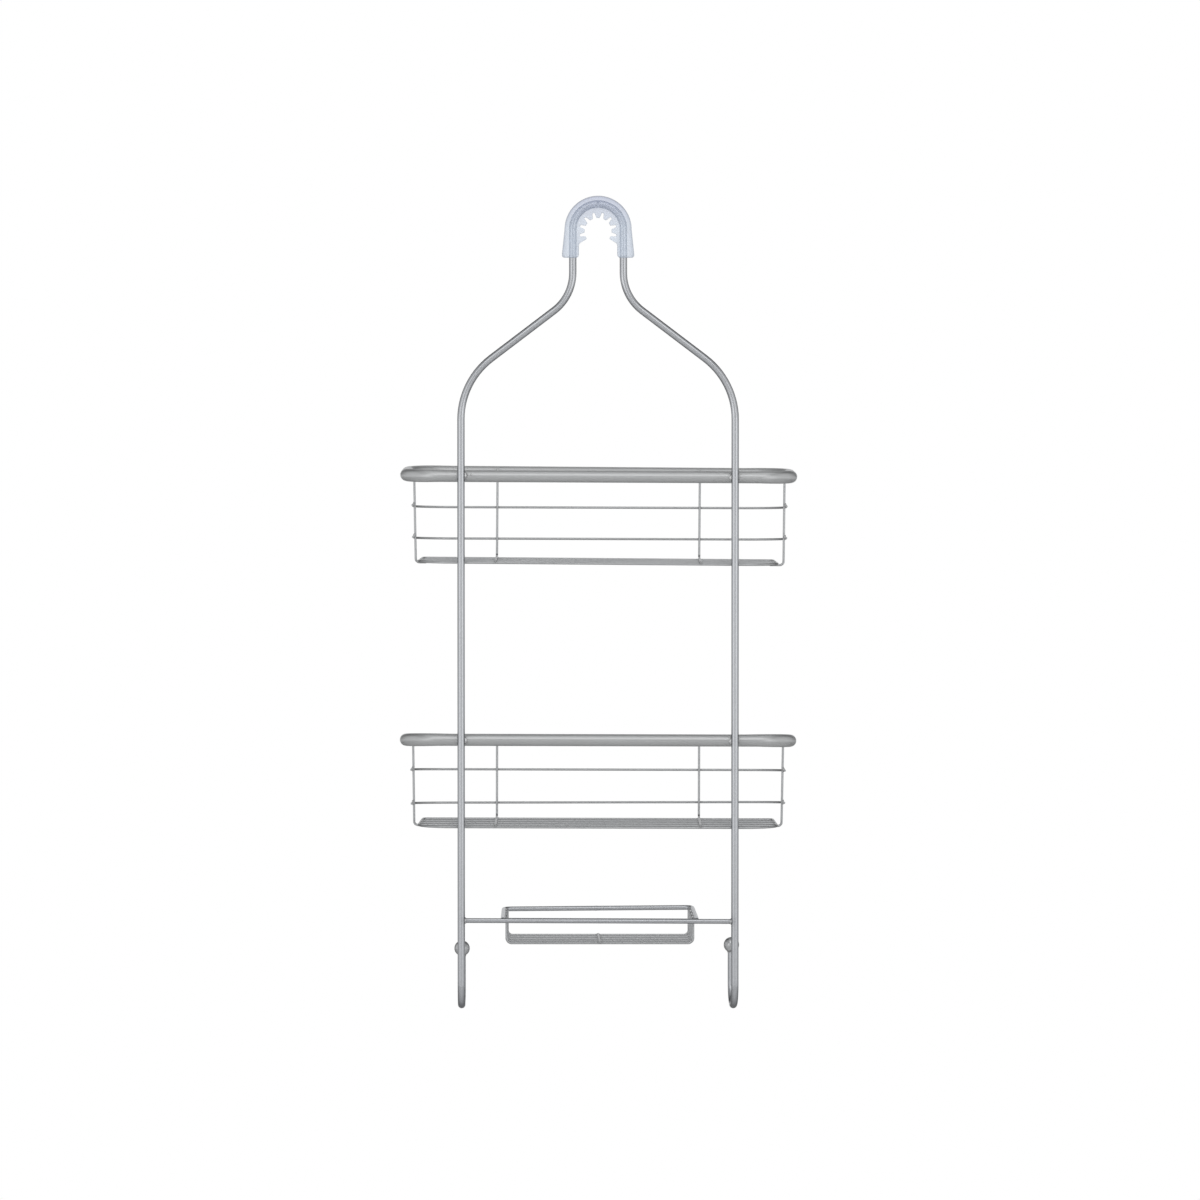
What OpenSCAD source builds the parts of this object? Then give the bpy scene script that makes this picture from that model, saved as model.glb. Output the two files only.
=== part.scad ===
// Over-the-arm shower caddy: a bent rod frame that carries two wire baskets, a soap dish
// and two hooks, and hangs by a toothed soft grip on a shower arm.
//
// Millimetres. The origin is the point of the shower arm's axis that lies in the plane of
// the frame. +Z is up, +X is to the right seen from the wall, +Y points into the room, so
// the frame stands at the wall side and everything that it carries lies on its +Y side.
//
// Every wire is given by the corner points of its path and a bend radius for each corner.

/* [Frame] */
// Diameter of the frame rod
frame_d = 5.8; // [4.6:0.1:6.6]
// Distance between the centre lines of the two uprights
frame_w = 214.6; // [200:0.2:230]
// Depth of the hooks' lowest centre line below the arm axis
frame_drop = 607.7; // [597:0.1:660]
// Distance between the centre lines of the neck's two legs
neck_w = 39.6; // [38:0.1:42]
// Straight length of the neck below the centre of its arch
neck_len = 34; // [30:0.5:44]
// Angle of the shoulders below the horizontal
shoulder_slope = 37.2; // [30:0.2:42]
// Bend radius at the foot of the neck, on the rod's centre line
neck_bend_r = 37; // [24:0.5:42]
// Bend radius of the shoulders, on the rod's centre line
shoulder_bend_r = 60; // [40:0.5:66]

/* [Hooks] */
// Distance from an upright to its hook's tip, centre line to centre line
hook_reach = 34; // [28:0.5:42]
// Height of the left ball's centre above the hook's lowest centre line
hook_rise_left = 43; // [36:0.1:56]
// Height of the right ball's centre above the hook's lowest centre line
hook_rise_right = 45.8; // [36:0.1:56]
// Diameter of the ball on a hook's tip
ball_d = 12.2; // [10:0.1:14]
// How far the rod's tip reaches into its ball
ball_socket = 7; // [4:0.1:8]
// Angle that the left hook turns towards the middle
hook_turn_left = 0; // [0:0.1:8]
// Angle that the right hook turns towards the middle
hook_turn_right = 3.6; // [0:0.1:8]

/* [Arm grip] */
// Diameter of the circle through the tips of the teeth
grip_tip_d = 21; // [20.6:0.1:21.6]
// Height of the arch's centre above the arm axis
arch_lift = 1.6; // [0.8:0.1:2.4]
// Diameter of the soft tube round the arch
grip_tube_d = 11.1; // [10.4:0.1:12]
// Outward shift of the soft tube from the rod's centre line
grip_shift = 0.85; // [0.5:0.05:1.2]
// Length of the grip's legs below the centre of the arch
grip_leg_len = 22.2; // [18:0.1:26]
// Diameter to which the legs flare at their feet
grip_foot_d = 15.6; // [13:0.1:16.4]
// Height of the bevel round a leg's foot
grip_foot_bevel = 1; // [0.6:0.1:1.6]
// Number of teeth
tooth_count = 9; // [7:2:9]
// Angle from one tooth to the next
tooth_pitch = 29.3; // [27:0.1:30]
// Width of a tooth at its tip
tooth_tip_w = 2.4; // [2.3:0.05:2.8]
// Depth of the gaps between the teeth
tooth_depth = 4.3; // [3.6:0.1:4.4]
// Width of a gap at its closed end
gap_end_w = 1.9; // [1.4:0.1:2.2]
// Thickness of the toothed web, along the arm
web_t = 7; // [5:0.5:9]

/* [Baskets] */
// Outer width of a basket's rim
rim_w = 312.4; // [296:0.2:330]
// Outer depth of a basket's rim, from the wall side to the room side
rim_depth = 120; // [108:0.5:132]
// Diameter of the rim tube
rim_d = 9.5; // [8:0.1:11]
// Radius of the rim's two back corners, on the tube's centre line
rim_back_r = 26; // [20:0.5:34]
// Radius of the rim's two front corners, on the tube's centre line
rim_front_r = 35; // [20:0.5:45]
// Depth of the upper rim below the arm axis
upper_rim_drop = 191.4; // [185:0.1:205]
// Distance from the upper basket down to the lower one
basket_pitch = 207.4; // [190:0.1:225]
// How far the upper basket sits to the right of the frame's middle
upper_shift = 0.5; // [-1:0.1:1]
// Height from a basket's base wires to the centre of its rim
basket_h = 68.9; // [62:0.1:80]
// How much lower the upper rim's front is than its back
upper_dip = 0.4; // [0:0.1:8]
// How much lower the lower rim's front is than its back
lower_dip = 6.4; // [0:0.1:8]
// How far the upper rim's left back corner sags
upper_sag_left = 1; // [-1:0.1:2]
// How far the upper rim's right back corner sags
upper_sag_right = 0; // [-1:0.1:2]
// Angle by which the upper basket hangs lower on the right
upper_slope = 0.45; // [0:0.05:1]
// Angle by which the lower basket hangs lower on the right
lower_slope = 0.15; // [0:0.05:1]
// Diameter of the baskets' thin wires
wire_d = 1.8; // [1.5:0.1:2.2]
// Depth of the upper basket's higher side ring below the rim
upper_high_ring_drop = 28; // [20:0.1:32]
// Depth of the upper basket's lower side ring below the rim
upper_low_ring_drop = 53; // [44:0.1:57]
// Depth of the lower basket's higher side ring below the rim
lower_high_ring_drop = 29.8; // [20:0.1:32]
// Depth of the lower basket's lower side ring below the rim
lower_low_ring_drop = 56; // [44:0.1:57]
// How much higher the upper basket's rings are at their right end than at their left
upper_ring_lift = 1.3; // [-1:0.1:2]
// How much higher the lower basket's lower ring is at its right end than at its left
lower_low_ring_lift = 1.3; // [-1:0.1:2]
// Bend radius of a side ring's two corners
ring_corner_r = 31; // [4:0.5:40]
// How much a side ring rises from the front to its ends
ring_rise = 3; // [0:0.1:5]
// How far a side ring's end stands past the end wire that it is welded to
ring_tail = 2; // [1:0.1:5]
// Distance from the rim's centre line in to the top of an end wire
end_wire_inset = 5.1; // [4.5:0.1:5.6]
// How far an end wire leans in from its top to its foot
end_lean = 1; // [0:0.1:3]
// How far the upper basket's end wires sit to the right of its rim's middle
upper_wire_shift = 0.5; // [-1:0.1:1]
// How much further to the right the feet of the upper basket's end wires are
upper_foot_shift = 0.8; // [-1:0.1:2]
// Distance between the two front wires, centre line to centre line
front_wire_gap = 161.2; // [140:0.2:180]

/* [Basket bases] */
// Gap between the base loop and the end wires
base_side_gap = 2.75; // [1:0.05:4]
// How much wider the base loop is at its back than at its front
base_taper = 5.2; // [0:0.2:10]
// Distance from the rim's back run forward to the base loop's back run
base_back_inset = 4; // [2:0.1:8]
// Radius of the base loop's two back corners
base_back_r = 26; // [16:0.5:30]
// Radius of the base loop's two front corners
base_front_r = 5; // [4:0.5:12]
// Number of left-to-right wires inside a base loop
rack_count = 3; // [3:1:3]
// Bend radius where a front wire turns under the basket
front_bend_r = 4; // [3:0.1:6]
// Bend radius where an end wire turns under the base loop
end_bend_r = 3; // [2.6:0.1:4]
// How far an end wire's toe reaches inward past the base loop
end_toe = 5; // [3:0.5:10]

/* [Soap dish] */
// Depth of the cross bar below the arm axis
bar_drop = 540.4; // [520:0.1:550]
// Angle by which the cross bar hangs lower on the right
bar_slope = 0.2; // [0:0.05:1]
// Diameter of the cross bar
bar_d = 3.8; // [3:0.1:5]
// Diameter of the dish's rail
rail_d = 3.8; // [2.6:0.1:4]
// Width of the rail at the cross bar, centre line to centre line
rail_w_back = 152.4; // [140:0.2:165]
// Width of the rail at the front, centre line to centre line
rail_w_front = 149.4; // [138:0.2:165]
// How far the rail's back run sits to the right of the middle
rail_shift_back = 1.5; // [-2:0.1:2]
// How far the rail's front run sits to the right of the middle
rail_shift_front = -0.1; // [-2:0.1:2]
// Depth of the rail, centre line to centre line
rail_depth = 88; // [76:0.5:100]
// How much higher the rail's front is than its back
rail_rise = 2.7; // [0:0.1:6]
// How much higher the rail's front run is at its right end than at its left end
rail_twist = 1.2; // [0:0.1:2]
// Radius of the rail's corners
rail_corner_r = 6; // [4:0.5:12]
// Diameter of the dish's thin wires
dish_wire_d = 1.8; // [1.5:0.1:2.4]
// Depth of the dish's rack below the cross bar
dish_h = 18.2; // [14:0.1:24]
// Number of cradle wires in the dish
cradle_count = 5; // [5:1:5]
// Distance from the rail's front and back runs to the nearest cradle wires
cradle_inset = 6; // [5:0.1:10]
// How deep the dish's cross wire is pressed over the cradle wires
cross_wire_set = 1.2; // [0.2:0.1:1.4]
// Bend radius at the lower corners of a cradle wire
cradle_bend_r = 4; // [3:0.1:7]

/* [Fits] */
// Clearance between the rod and the soft grip, all round
grip_clearance = 0.05; // [0.02:0.01:0.1]
// Clearance between a rod's tip and the socket in its ball
ball_clearance = 0.05; // [0.02:0.01:0.1]

/* [Hidden] */
$fn = 48;
LEFT = -1;
RIGHT = 1;
// How far a straight stretch of a wire runs on into the bend that follows it
BEND_JOIN = 0.1;
// How much a wire's diameter draws down in a bend
BEND_THINNING = 0.02;
// How far a cutting body reaches past what it cuts
OVERCUT = 1;

satin_metal = "#a9adb1";
thin_metal = "#a2a6aa";
soft_grip = "#d6dfec";

// Frame, from the neck outward and down
neck_x = neck_w / 2;
upright_x = frame_w / 2;
neck_bend_z = arch_lift - neck_len;
shoulder_turn = 90 - shoulder_slope;
neck_corner_z = neck_bend_z - neck_bend_r * tan(shoulder_turn / 2);
shoulder_corner_z = neck_corner_z - (upright_x - neck_x) * tan(shoulder_slope);
hook_r = hook_reach / 2;
hook_low_z = -frame_drop;

// Grip
grip_arch_r = neck_x + grip_shift;
grip_tube_r = grip_tube_d / 2;
grip_inner_x = grip_arch_r - grip_tube_r;
grip_foot_z = arch_lift - grip_leg_len;
tip_r = grip_tip_d / 2;
gap_mouth_w = 2 * tip_r * sin(tooth_pitch / 2) - tooth_tip_w;
last_tooth_angle = 90 - tooth_pitch * (tooth_count - 1) / 2;
throat_angle = last_tooth_angle - asin(tooth_tip_w / 2 / tip_r);
throat_x = tip_r * cos(throat_angle);
throat_z = tip_r * sin(throat_angle);
lead_in_slope = 31;
// How far the flat inner sides of the grip's legs stand inside the round of its arch
GRIP_FLAT_STEP = 0.1;
web_r = (grip_inner_x + neck_x) / 2;
web_skirt_x = (grip_inner_x + web_r) / 2;
lead_in_z = throat_z - (grip_inner_x - throat_x) * tan(lead_in_slope);

// Baskets: rim centre lines, then the wires against the rim's inner side
rim_x = (rim_w - rim_d) / 2;
rim_run = rim_depth - rim_d;
rim_back_y = (frame_d + rim_d) / 2;
rim_to_wire = (rim_d + wire_d) / 2;
end_wire_x = rim_x - end_wire_inset;
base_mid_x = end_wire_x - end_lean - wire_d - base_side_gap;
base_back_y = rim_back_y + base_back_inset;
front_wire_x = front_wire_gap / 2;

// Soap dish
bar_z = -bar_drop;
rail_back_y = (bar_d + rail_d) / 2;
cradle_z = bar_z - dish_h;
rail_to_cradle = (rail_d + dish_wire_d) / 2;

// Place of an end wire's centre line at the height this far below the rim; the wires are
// shifted to the right at their tops, and by a further amount at their feet
function end_x(side, drop, top_shift, foot_shift) = side * end_wire_x + top_shift
    + (foot_shift - side * end_lean) * drop / (basket_h + wire_d);
// How far below the rim's centre line an end wire's top meets the tube
function end_top_drop(side, top_shift) =
    let (outer = end_wire_inset - side * top_shift - wire_d / 2)
    sqrt(max(0, pow(rim_d / 2, 2) - pow(outer, 2)));
// Angle by which a rim with this dip leans to the front
function rim_tilt(dip) = asin(dip / rim_run);
function rim_front_y(dip) = rim_back_y + rim_run * cos(rim_tilt(dip));
function front_wire_y(dip) = rim_front_y(dip) - rim_to_wire;
function base_front_y(dip) = front_wire_y(dip) - front_bend_r;
function base_mid_y(dip) = (base_back_y + base_front_y(dip)) / 2;
function base_run(dip) = base_front_y(dip) - base_back_y;
// Half the width of the base loop at depth y, centre line to centre line
function base_x(dip, y) = base_mid_x + base_taper / 2 * (base_mid_y(dip) - y) / base_run(dip);
// Height of the rim's centre line at depth y, below its back run
function rim_fall(dip, y) = (y - rim_back_y) * tan(rim_tilt(dip));

function unit(v) = v / norm(v);
function reversed(list) = [for (i = [len(list) - 1:-1:0]) list[i]];
// Distance from the corner b, between a and c, to where its bend of radius r begins
function setback(a, b, c, r) = r * tan(acos(unit(b - a) * unit(c - b)) / 2);

// Places its children with their x, y and z axes along the three given unit vectors
module placed(x_axis, y_axis, z_axis, at) {
    multmatrix([
        [x_axis.x, y_axis.x, z_axis.x, at.x],
        [x_axis.y, y_axis.y, z_axis.y, at.y],
        [x_axis.z, y_axis.z, z_axis.z, at.z],
        [0, 0, 0, 1]
    ])
        children();
}

// Straight round rod from one point to another
module straight(from, to, d) {
    along = unit(to - from);
    helper = abs(along.z) < 0.8 ? [0, 0, 1] : [1, 0, 0];
    side = unit(cross(helper, along));
    placed(side, cross(along, side), along, from)
        cylinder(h = norm(to - from), d = d);
}

// Round bend at corner b of the path a, b, c, with centre-line radius r. The rod is drawn
// a little thinner where it is bent
module bend(a, b, c, r, d) {
    incoming = unit(b - a);
    outgoing = unit(c - b);
    turn = acos(incoming * outgoing);
    inward = unit(outgoing - (incoming * outgoing) * incoming);
    start = b - incoming * setback(a, b, c, r);
    inset = BEND_JOIN / 2 / r * 180 / PI;
    placed(-inward, incoming, cross(-inward, incoming), start + inward * r)
        rotate([0, 0, inset])
            rotate_extrude(angle = turn - 2 * inset)
                translate([r, 0])
                    circle(d = d - BEND_THINNING);
}

// Open wire along the corners; radii holds a bend radius for each inner corner
module bent_wire(corners, radii, d) {
    last = len(corners) - 1;
    back_off = [for (i = [0:last])
        i == 0 || i == last ? 0 : setback(corners[i - 1], corners[i], corners[i + 1], radii[i - 1])];
    for (i = [0:last - 1]) {
        along = unit(corners[i + 1] - corners[i]);
        run_on_from = i == 0 ? 0 : BEND_JOIN;
        run_on_to = i == last - 1 ? 0 : BEND_JOIN;
        straight(
            corners[i] + along * (back_off[i] - run_on_from),
            corners[i + 1] - along * (back_off[i + 1] - run_on_to),
            d
        );
    }
    for (i = [1:last - 1])
        bend(corners[i - 1], corners[i], corners[i + 1], radii[i - 1], d);
}

// Closed wire through the corners, with a bend radius for each
module bent_loop(corners, radii, d) {
    n = len(corners);
    back_off = [for (i = [0:n - 1])
        setback(corners[(i + n - 1) % n], corners[i], corners[(i + 1) % n], radii[i])];
    for (i = [0:n - 1]) {
        next = (i + 1) % n;
        along = unit(corners[next] - corners[i]);
        straight(
            corners[i] + along * (back_off[i] - BEND_JOIN),
            corners[next] - along * (back_off[next] - BEND_JOIN),
            d
        );
        bend(corners[(i + n - 1) % n], corners[i], corners[next], radii[i], d);
    }
}

// Point of a hook's tip line, turned towards the middle about its upright
function hook_point(side, turn, z) =
    [side * (upright_x - hook_reach * sin(turn)), hook_reach * cos(turn), z];

// One half of the frame's path, from the hook's tip up to the arch's corner
function frame_half(side, turn, rise) = [
    hook_point(side, turn, hook_low_z + rise - ball_d / 2 + ball_socket),
    hook_point(side, turn, hook_low_z),
    [side * upright_x, 0, hook_low_z],
    [side * upright_x, 0, shoulder_corner_z],
    [side * neck_x, 0, neck_corner_z],
    [side * neck_x, 0, arch_lift + neck_x]
];

module frame_rod() {
    half_radii = [hook_r, hook_r, shoulder_bend_r, neck_bend_r, neck_x];
    color(satin_metal)
        bent_wire(
            concat(
                frame_half(LEFT, hook_turn_left, hook_rise_left),
                reversed(frame_half(RIGHT, hook_turn_right, hook_rise_right))
            ),
            concat(half_radii, reversed(half_radii)),
            frame_d
        );
}

// Ball with a blind socket below for the rod's tip
module hook_ball(side, turn, rise) {
    color(satin_metal)
        translate(hook_point(side, turn, hook_low_z + rise))
            difference() {
                sphere(d = ball_d);
                translate([0, 0, -ball_d / 2 - OVERCUT])
                    cylinder(h = ball_socket + OVERCUT + ball_clearance, d = frame_d + 2 * ball_clearance);
            }
}

// Outline of one gap between two teeth, pointing along +X: a wedge with a round end
module tooth_gap() {
    end_x = tip_r + tooth_depth - gap_end_w / 2;
    spread = (gap_mouth_w - gap_end_w) / (end_x - tip_r);
    mouth_w = gap_mouth_w + spread * OVERCUT;
    polygon([
        [tip_r - OVERCUT, -mouth_w / 2], [end_x, -gap_end_w / 2],
        [end_x, gap_end_w / 2], [tip_r - OVERCUT, mouth_w / 2]
    ]);
    translate([end_x, 0])
        circle(d = gap_end_w);
}

// Outline of the way in for the arm, below the lowest pair of teeth
module lead_in() {
    rise = tan(lead_in_slope);
    low_z = arch_lift - web_r - OVERCUT;
    polygon([
        [-throat_x + OVERCUT, throat_z + OVERCUT * rise], [throat_x - OVERCUT, throat_z + OVERCUT * rise],
        [web_r + OVERCUT, throat_z - (web_r + OVERCUT - throat_x) * rise], [web_r + OVERCUT, low_z],
        [-web_r - OVERCUT, low_z], [-web_r - OVERCUT, throat_z - (web_r + OVERCUT - throat_x) * rise]
    ]);
}

// Outline of the toothed web in the frame's plane, x to the right and y up
module web_outline() {
    difference() {
        union() {
            translate([0, arch_lift])
                circle(r = web_r);
            translate([-web_skirt_x, lead_in_z - OVERCUT])
                square([2 * web_skirt_x, arch_lift - lead_in_z]);
        }
        circle(r = tip_r);
        for (i = [0:tooth_count - 2])
            rotate(last_tooth_angle + (i + 0.5) * tooth_pitch)
                tooth_gap();
        lead_in();
    }
}

// Soft tube over the arch, with legs that flare outward and are flat on the inside
module grip_tube() {
    flat_x = grip_inner_x - GRIP_FLAT_STEP;
    translate([0, 0, arch_lift])
        rotate([90, 0, 0])
            rotate_extrude(angle = 180)
                translate([grip_arch_r, 0])
                    circle(d = grip_tube_d);
    for (side = [LEFT, RIGHT])
        difference() {
            translate([side * grip_arch_r, 0, grip_foot_z]) {
                translate([0, 0, grip_foot_bevel])
                    cylinder(h = grip_leg_len - grip_foot_bevel, d1 = grip_foot_d, d2 = grip_tube_d);
                cylinder(h = grip_foot_bevel, d1 = grip_foot_d - 2 * grip_foot_bevel, d2 = grip_foot_d);
            }
            translate([side * (flat_x - grip_foot_d / 2), 0, grip_foot_z + grip_leg_len / 2])
                cube([grip_foot_d, grip_foot_d + OVERCUT, grip_leg_len + OVERCUT], center = true);
        }
}

// Channel that the arch of the frame rod lies in
module rod_channel() {
    channel_d = frame_d + 2 * grip_clearance;
    translate([0, 0, arch_lift])
        rotate([90, 0, 0])
            rotate_extrude(angle = 180)
                translate([neck_x, 0])
                    circle(d = channel_d);
    for (side = [LEFT, RIGHT])
        translate([side * neck_x, 0, grip_foot_z - OVERCUT])
            cylinder(h = grip_leg_len + OVERCUT, d = channel_d);
}

module arm_grip() {
    color(soft_grip)
        difference() {
            union() {
                grip_tube();
                rotate([90, 0, 0])
                    translate([0, 0, -web_t / 2])
                        linear_extrude(web_t)
                            web_outline();
            }
            rod_channel();
        }
}

// A basket is drawn with the middle of its rim's back run at height 0, then hung in place
module hang_upper() {
    translate([upper_shift, 0, -upper_rim_drop])
        rotate([0, upper_slope, 0])
            children();
}

module hang_lower() {
    translate([0, 0, -upper_rim_drop - basket_pitch])
        rotate([0, lower_slope, 0])
            children();
}

// Rim tube, a closed loop that leans to the front by its dip; its back corners sag
module rim(dip, sag_left = 0, sag_right = 0) {
    color(satin_metal)
        translate([0, rim_back_y, 0])
            rotate([-rim_tilt(dip), 0, 0])
                bent_loop(
                    [
                        [-rim_x, 0, -sag_left], [rim_x, 0, -sag_right],
                        [rim_x, rim_run, 0], [-rim_x, rim_run, 0]
                    ],
                    [rim_back_r, rim_back_r, rim_front_r, rim_front_r],
                    rim_d
                );
}

// Side ring: runs along the front and round both ends, outside the upright wires
module side_ring(dip, drop, lift = 0, top_shift = 0, foot_shift = 0) {
    left_x = end_x(LEFT, drop, top_shift, foot_shift) - wire_d;
    right_x = end_x(RIGHT, drop, top_shift, foot_shift) + wire_d;
    front_y = front_wire_y(dip) + wire_d;
    tail_y = base_mid_y(dip) - wire_d / 2 - ring_tail;
    tail_z = -drop + ring_rise * (front_y - tail_y) / (front_y - base_mid_y(dip));
    color(thin_metal)
        bent_wire(
            [
                [left_x, tail_y, tail_z - lift / 2], [left_x, front_y, -drop - lift / 2],
                [right_x, front_y, -drop + lift / 2], [right_x, tail_y, tail_z + lift / 2]
            ],
            [ring_corner_r, ring_corner_r],
            wire_d
        );
}

// Base loop: wide bends at the wall side, tight ones at the front
module base_loop(dip) {
    back_x = base_x(dip, base_back_y);
    front_x = base_x(dip, base_front_y(dip));
    color(thin_metal)
        translate([0, 0, -basket_h])
            bent_loop(
                [
                    [-back_x, base_back_y, 0], [back_x, base_back_y, 0],
                    [front_x, base_front_y(dip), 0], [-front_x, base_front_y(dip), 0]
                ],
                [base_back_r, base_back_r, base_front_r, base_front_r],
                wire_d
            );
}

// Front wire: hangs inside the rim's front run and turns back over the base wires
module front_wire(side, dip) {
    x = side * front_wire_x;
    front_y = front_wire_y(dip);
    low_z = -basket_h + wire_d;
    color(thin_metal)
        bent_wire(
            [
                [x, front_y, -rim_fall(dip, rim_front_y(dip))], [x, front_y, low_z],
                [x, base_back_y - wire_d / 2, low_z]
            ],
            [front_bend_r],
            wire_d
        );
}

// End wire: hangs inside the rim's end and turns in under the base loop
module end_wire(side, dip, sag = 0, top_shift = 0, foot_shift = 0) {
    y = base_mid_y(dip);
    low_drop = basket_h + wire_d;
    top_z = -rim_fall(dip, y) - sag * (1 - (y - rim_back_y) / rim_run) - end_top_drop(side, top_shift);
    color(thin_metal)
        bent_wire(
            [
                [end_x(side, 0, top_shift, foot_shift), y, top_z],
                [end_x(side, low_drop, top_shift, foot_shift), y, -low_drop],
                [side * (base_mid_x - end_toe), y, -low_drop]
            ],
            [end_bend_r],
            wire_d
        );
}

// Left-to-right wire number i of a base, counted from the wall side
module rack_wire(i, dip) {
    y = base_back_y + i * base_run(dip) / (rack_count + 1);
    reach = base_x(dip, y) - wire_d / 2;
    color(thin_metal)
        straight([-reach, y, -basket_h], [reach, y, -basket_h], wire_d);
}

// Height of the cross bar's centre line at x
function bar_z_at(x) = bar_z - x * tan(bar_slope);

// Cross bar, with ends that are hollowed to sit against the uprights
module soap_bar() {
    color(satin_metal)
        difference() {
            straight(
                [-upright_x, 0, bar_z_at(-upright_x)], [upright_x, 0, bar_z_at(upright_x)],
                bar_d
            );
            for (side = [LEFT, RIGHT])
                translate([side * upright_x, 0, bar_z - bar_d])
                    cylinder(h = 2 * bar_d, d = frame_d);
        }
}

// The rail's centre line on one side: from the back run to the front run
function along_rail(y, back, front) = back + (front - back) * (y - rail_back_y) / rail_depth;
function rail_mid(y) = along_rail(y, rail_shift_back, rail_shift_front);
function rail_x(side, y, inset = 0) =
    rail_mid(y) + side * (along_rail(y, rail_w_back, rail_w_front) / 2 - inset);
function rail_z(side, y) = along_rail(
    y, bar_z_at(rail_x(side, rail_back_y)), bar_z + rail_rise + side * rail_twist / 2
);
function rail_point(side, y) = [rail_x(side, y), y, rail_z(side, y)];
function cradle_y(i) =
    rail_back_y + cradle_inset + (i - 1) * (rail_depth - 2 * cradle_inset) / (cradle_count - 1);

// Rail: a closed loop whose back run lies along the cross bar
module soap_rail() {
    front_y = rail_back_y + rail_depth;
    color(satin_metal)
        bent_loop(
            [
                rail_point(LEFT, rail_back_y), rail_point(RIGHT, rail_back_y),
                rail_point(RIGHT, front_y), rail_point(LEFT, front_y)
            ],
            [for (i = [1:4]) rail_corner_r],
            rail_d
        );
}

// Cradle wire number i: hangs between the rail's two sides
module soap_cradle_wire(i) {
    y = cradle_y(i);
    left_x = rail_x(LEFT, y, rail_to_cradle);
    right_x = rail_x(RIGHT, y, rail_to_cradle);
    color(thin_metal)
        bent_wire(
            [
                [left_x, y, rail_z(LEFT, y)], [left_x, y, cradle_z],
                [right_x, y, cradle_z], [right_x, y, rail_z(RIGHT, y)]
            ],
            [cradle_bend_r, cradle_bend_r],
            dish_wire_d
        );
}

// Cross wire along the middle of the cradle, pressed over its wires from above
module soap_cross_wire() {
    z = cradle_z + dish_wire_d - cross_wire_set;
    back_y = cradle_y(1) - dish_wire_d;
    front_y = cradle_y(cradle_count) + dish_wire_d;
    color(thin_metal)
        difference() {
            straight([rail_mid(back_y), back_y, z], [rail_mid(front_y), front_y, z], dish_wire_d);
            for (i = [1:cradle_count])
                straight(
                    [rail_mid(0) - 2 * dish_wire_d, cradle_y(i), cradle_z],
                    [rail_mid(0) + 2 * dish_wire_d, cradle_y(i), cradle_z],
                    dish_wire_d
                );
        }
}

frame_rod();
hook_ball(LEFT, hook_turn_left, hook_rise_left);  // hook_ball_left
hook_ball(RIGHT, hook_turn_right, hook_rise_right);  // hook_ball_right
arm_grip();

hang_upper() rim(upper_dip, upper_sag_left, upper_sag_right);  // upper_rim
hang_upper() side_ring(  // upper_ring_high
        upper_dip, upper_high_ring_drop, upper_ring_lift, upper_wire_shift, upper_foot_shift
    );
hang_upper() side_ring(  // upper_ring_low
        upper_dip, upper_low_ring_drop, upper_ring_lift, upper_wire_shift, upper_foot_shift
    );
hang_upper() base_loop(upper_dip);  // upper_base_loop
hang_upper() front_wire(LEFT, upper_dip);  // upper_front_wire_left
hang_upper() front_wire(RIGHT, upper_dip);  // upper_front_wire_right
hang_upper() end_wire(LEFT, upper_dip, upper_sag_left, upper_wire_shift, upper_foot_shift);  // upper_end_wire_left
hang_upper() end_wire(RIGHT, upper_dip, upper_sag_right, upper_wire_shift, upper_foot_shift);  // upper_end_wire_right
hang_upper() rack_wire(1, upper_dip);  // upper_rack_wire_1
hang_upper() rack_wire(2, upper_dip);  // upper_rack_wire_2
hang_upper() rack_wire(3, upper_dip);  // upper_rack_wire_3

hang_lower() rim(lower_dip);  // lower_rim
hang_lower() side_ring(lower_dip, lower_high_ring_drop);  // lower_ring_high
hang_lower() side_ring(lower_dip, lower_low_ring_drop, lower_low_ring_lift);  // lower_ring_low
hang_lower() base_loop(lower_dip);  // lower_base_loop
hang_lower() front_wire(LEFT, lower_dip);  // lower_front_wire_left
hang_lower() front_wire(RIGHT, lower_dip);  // lower_front_wire_right
hang_lower() end_wire(LEFT, lower_dip);  // lower_end_wire_left
hang_lower() end_wire(RIGHT, lower_dip);  // lower_end_wire_right
hang_lower() rack_wire(1, lower_dip);  // lower_rack_wire_1
hang_lower() rack_wire(2, lower_dip);  // lower_rack_wire_2
hang_lower() rack_wire(3, lower_dip);  // lower_rack_wire_3

soap_bar();
soap_rail();
soap_cross_wire();
soap_cradle_wire(1);  // soap_cradle_wire_1
soap_cradle_wire(2);  // soap_cradle_wire_2
soap_cradle_wire(3);  // soap_cradle_wire_3
soap_cradle_wire(4);  // soap_cradle_wire_4
soap_cradle_wire(5);  // soap_cradle_wire_5
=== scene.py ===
"""Dresses the over-the-arm shower caddy: satin coated rod, tube and wire, and a soft grip.

Lengths in the classes are millimetres in the part's own frame: the origin is on the shower
arm's axis in the plane of the frame, +Z is up, +X is to the right seen from the wall and +Y
points into the room. Every wire is a round profile carried along its centre line.
"""

import logging
import math
from dataclasses import dataclass, field
from enum import Enum

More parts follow.
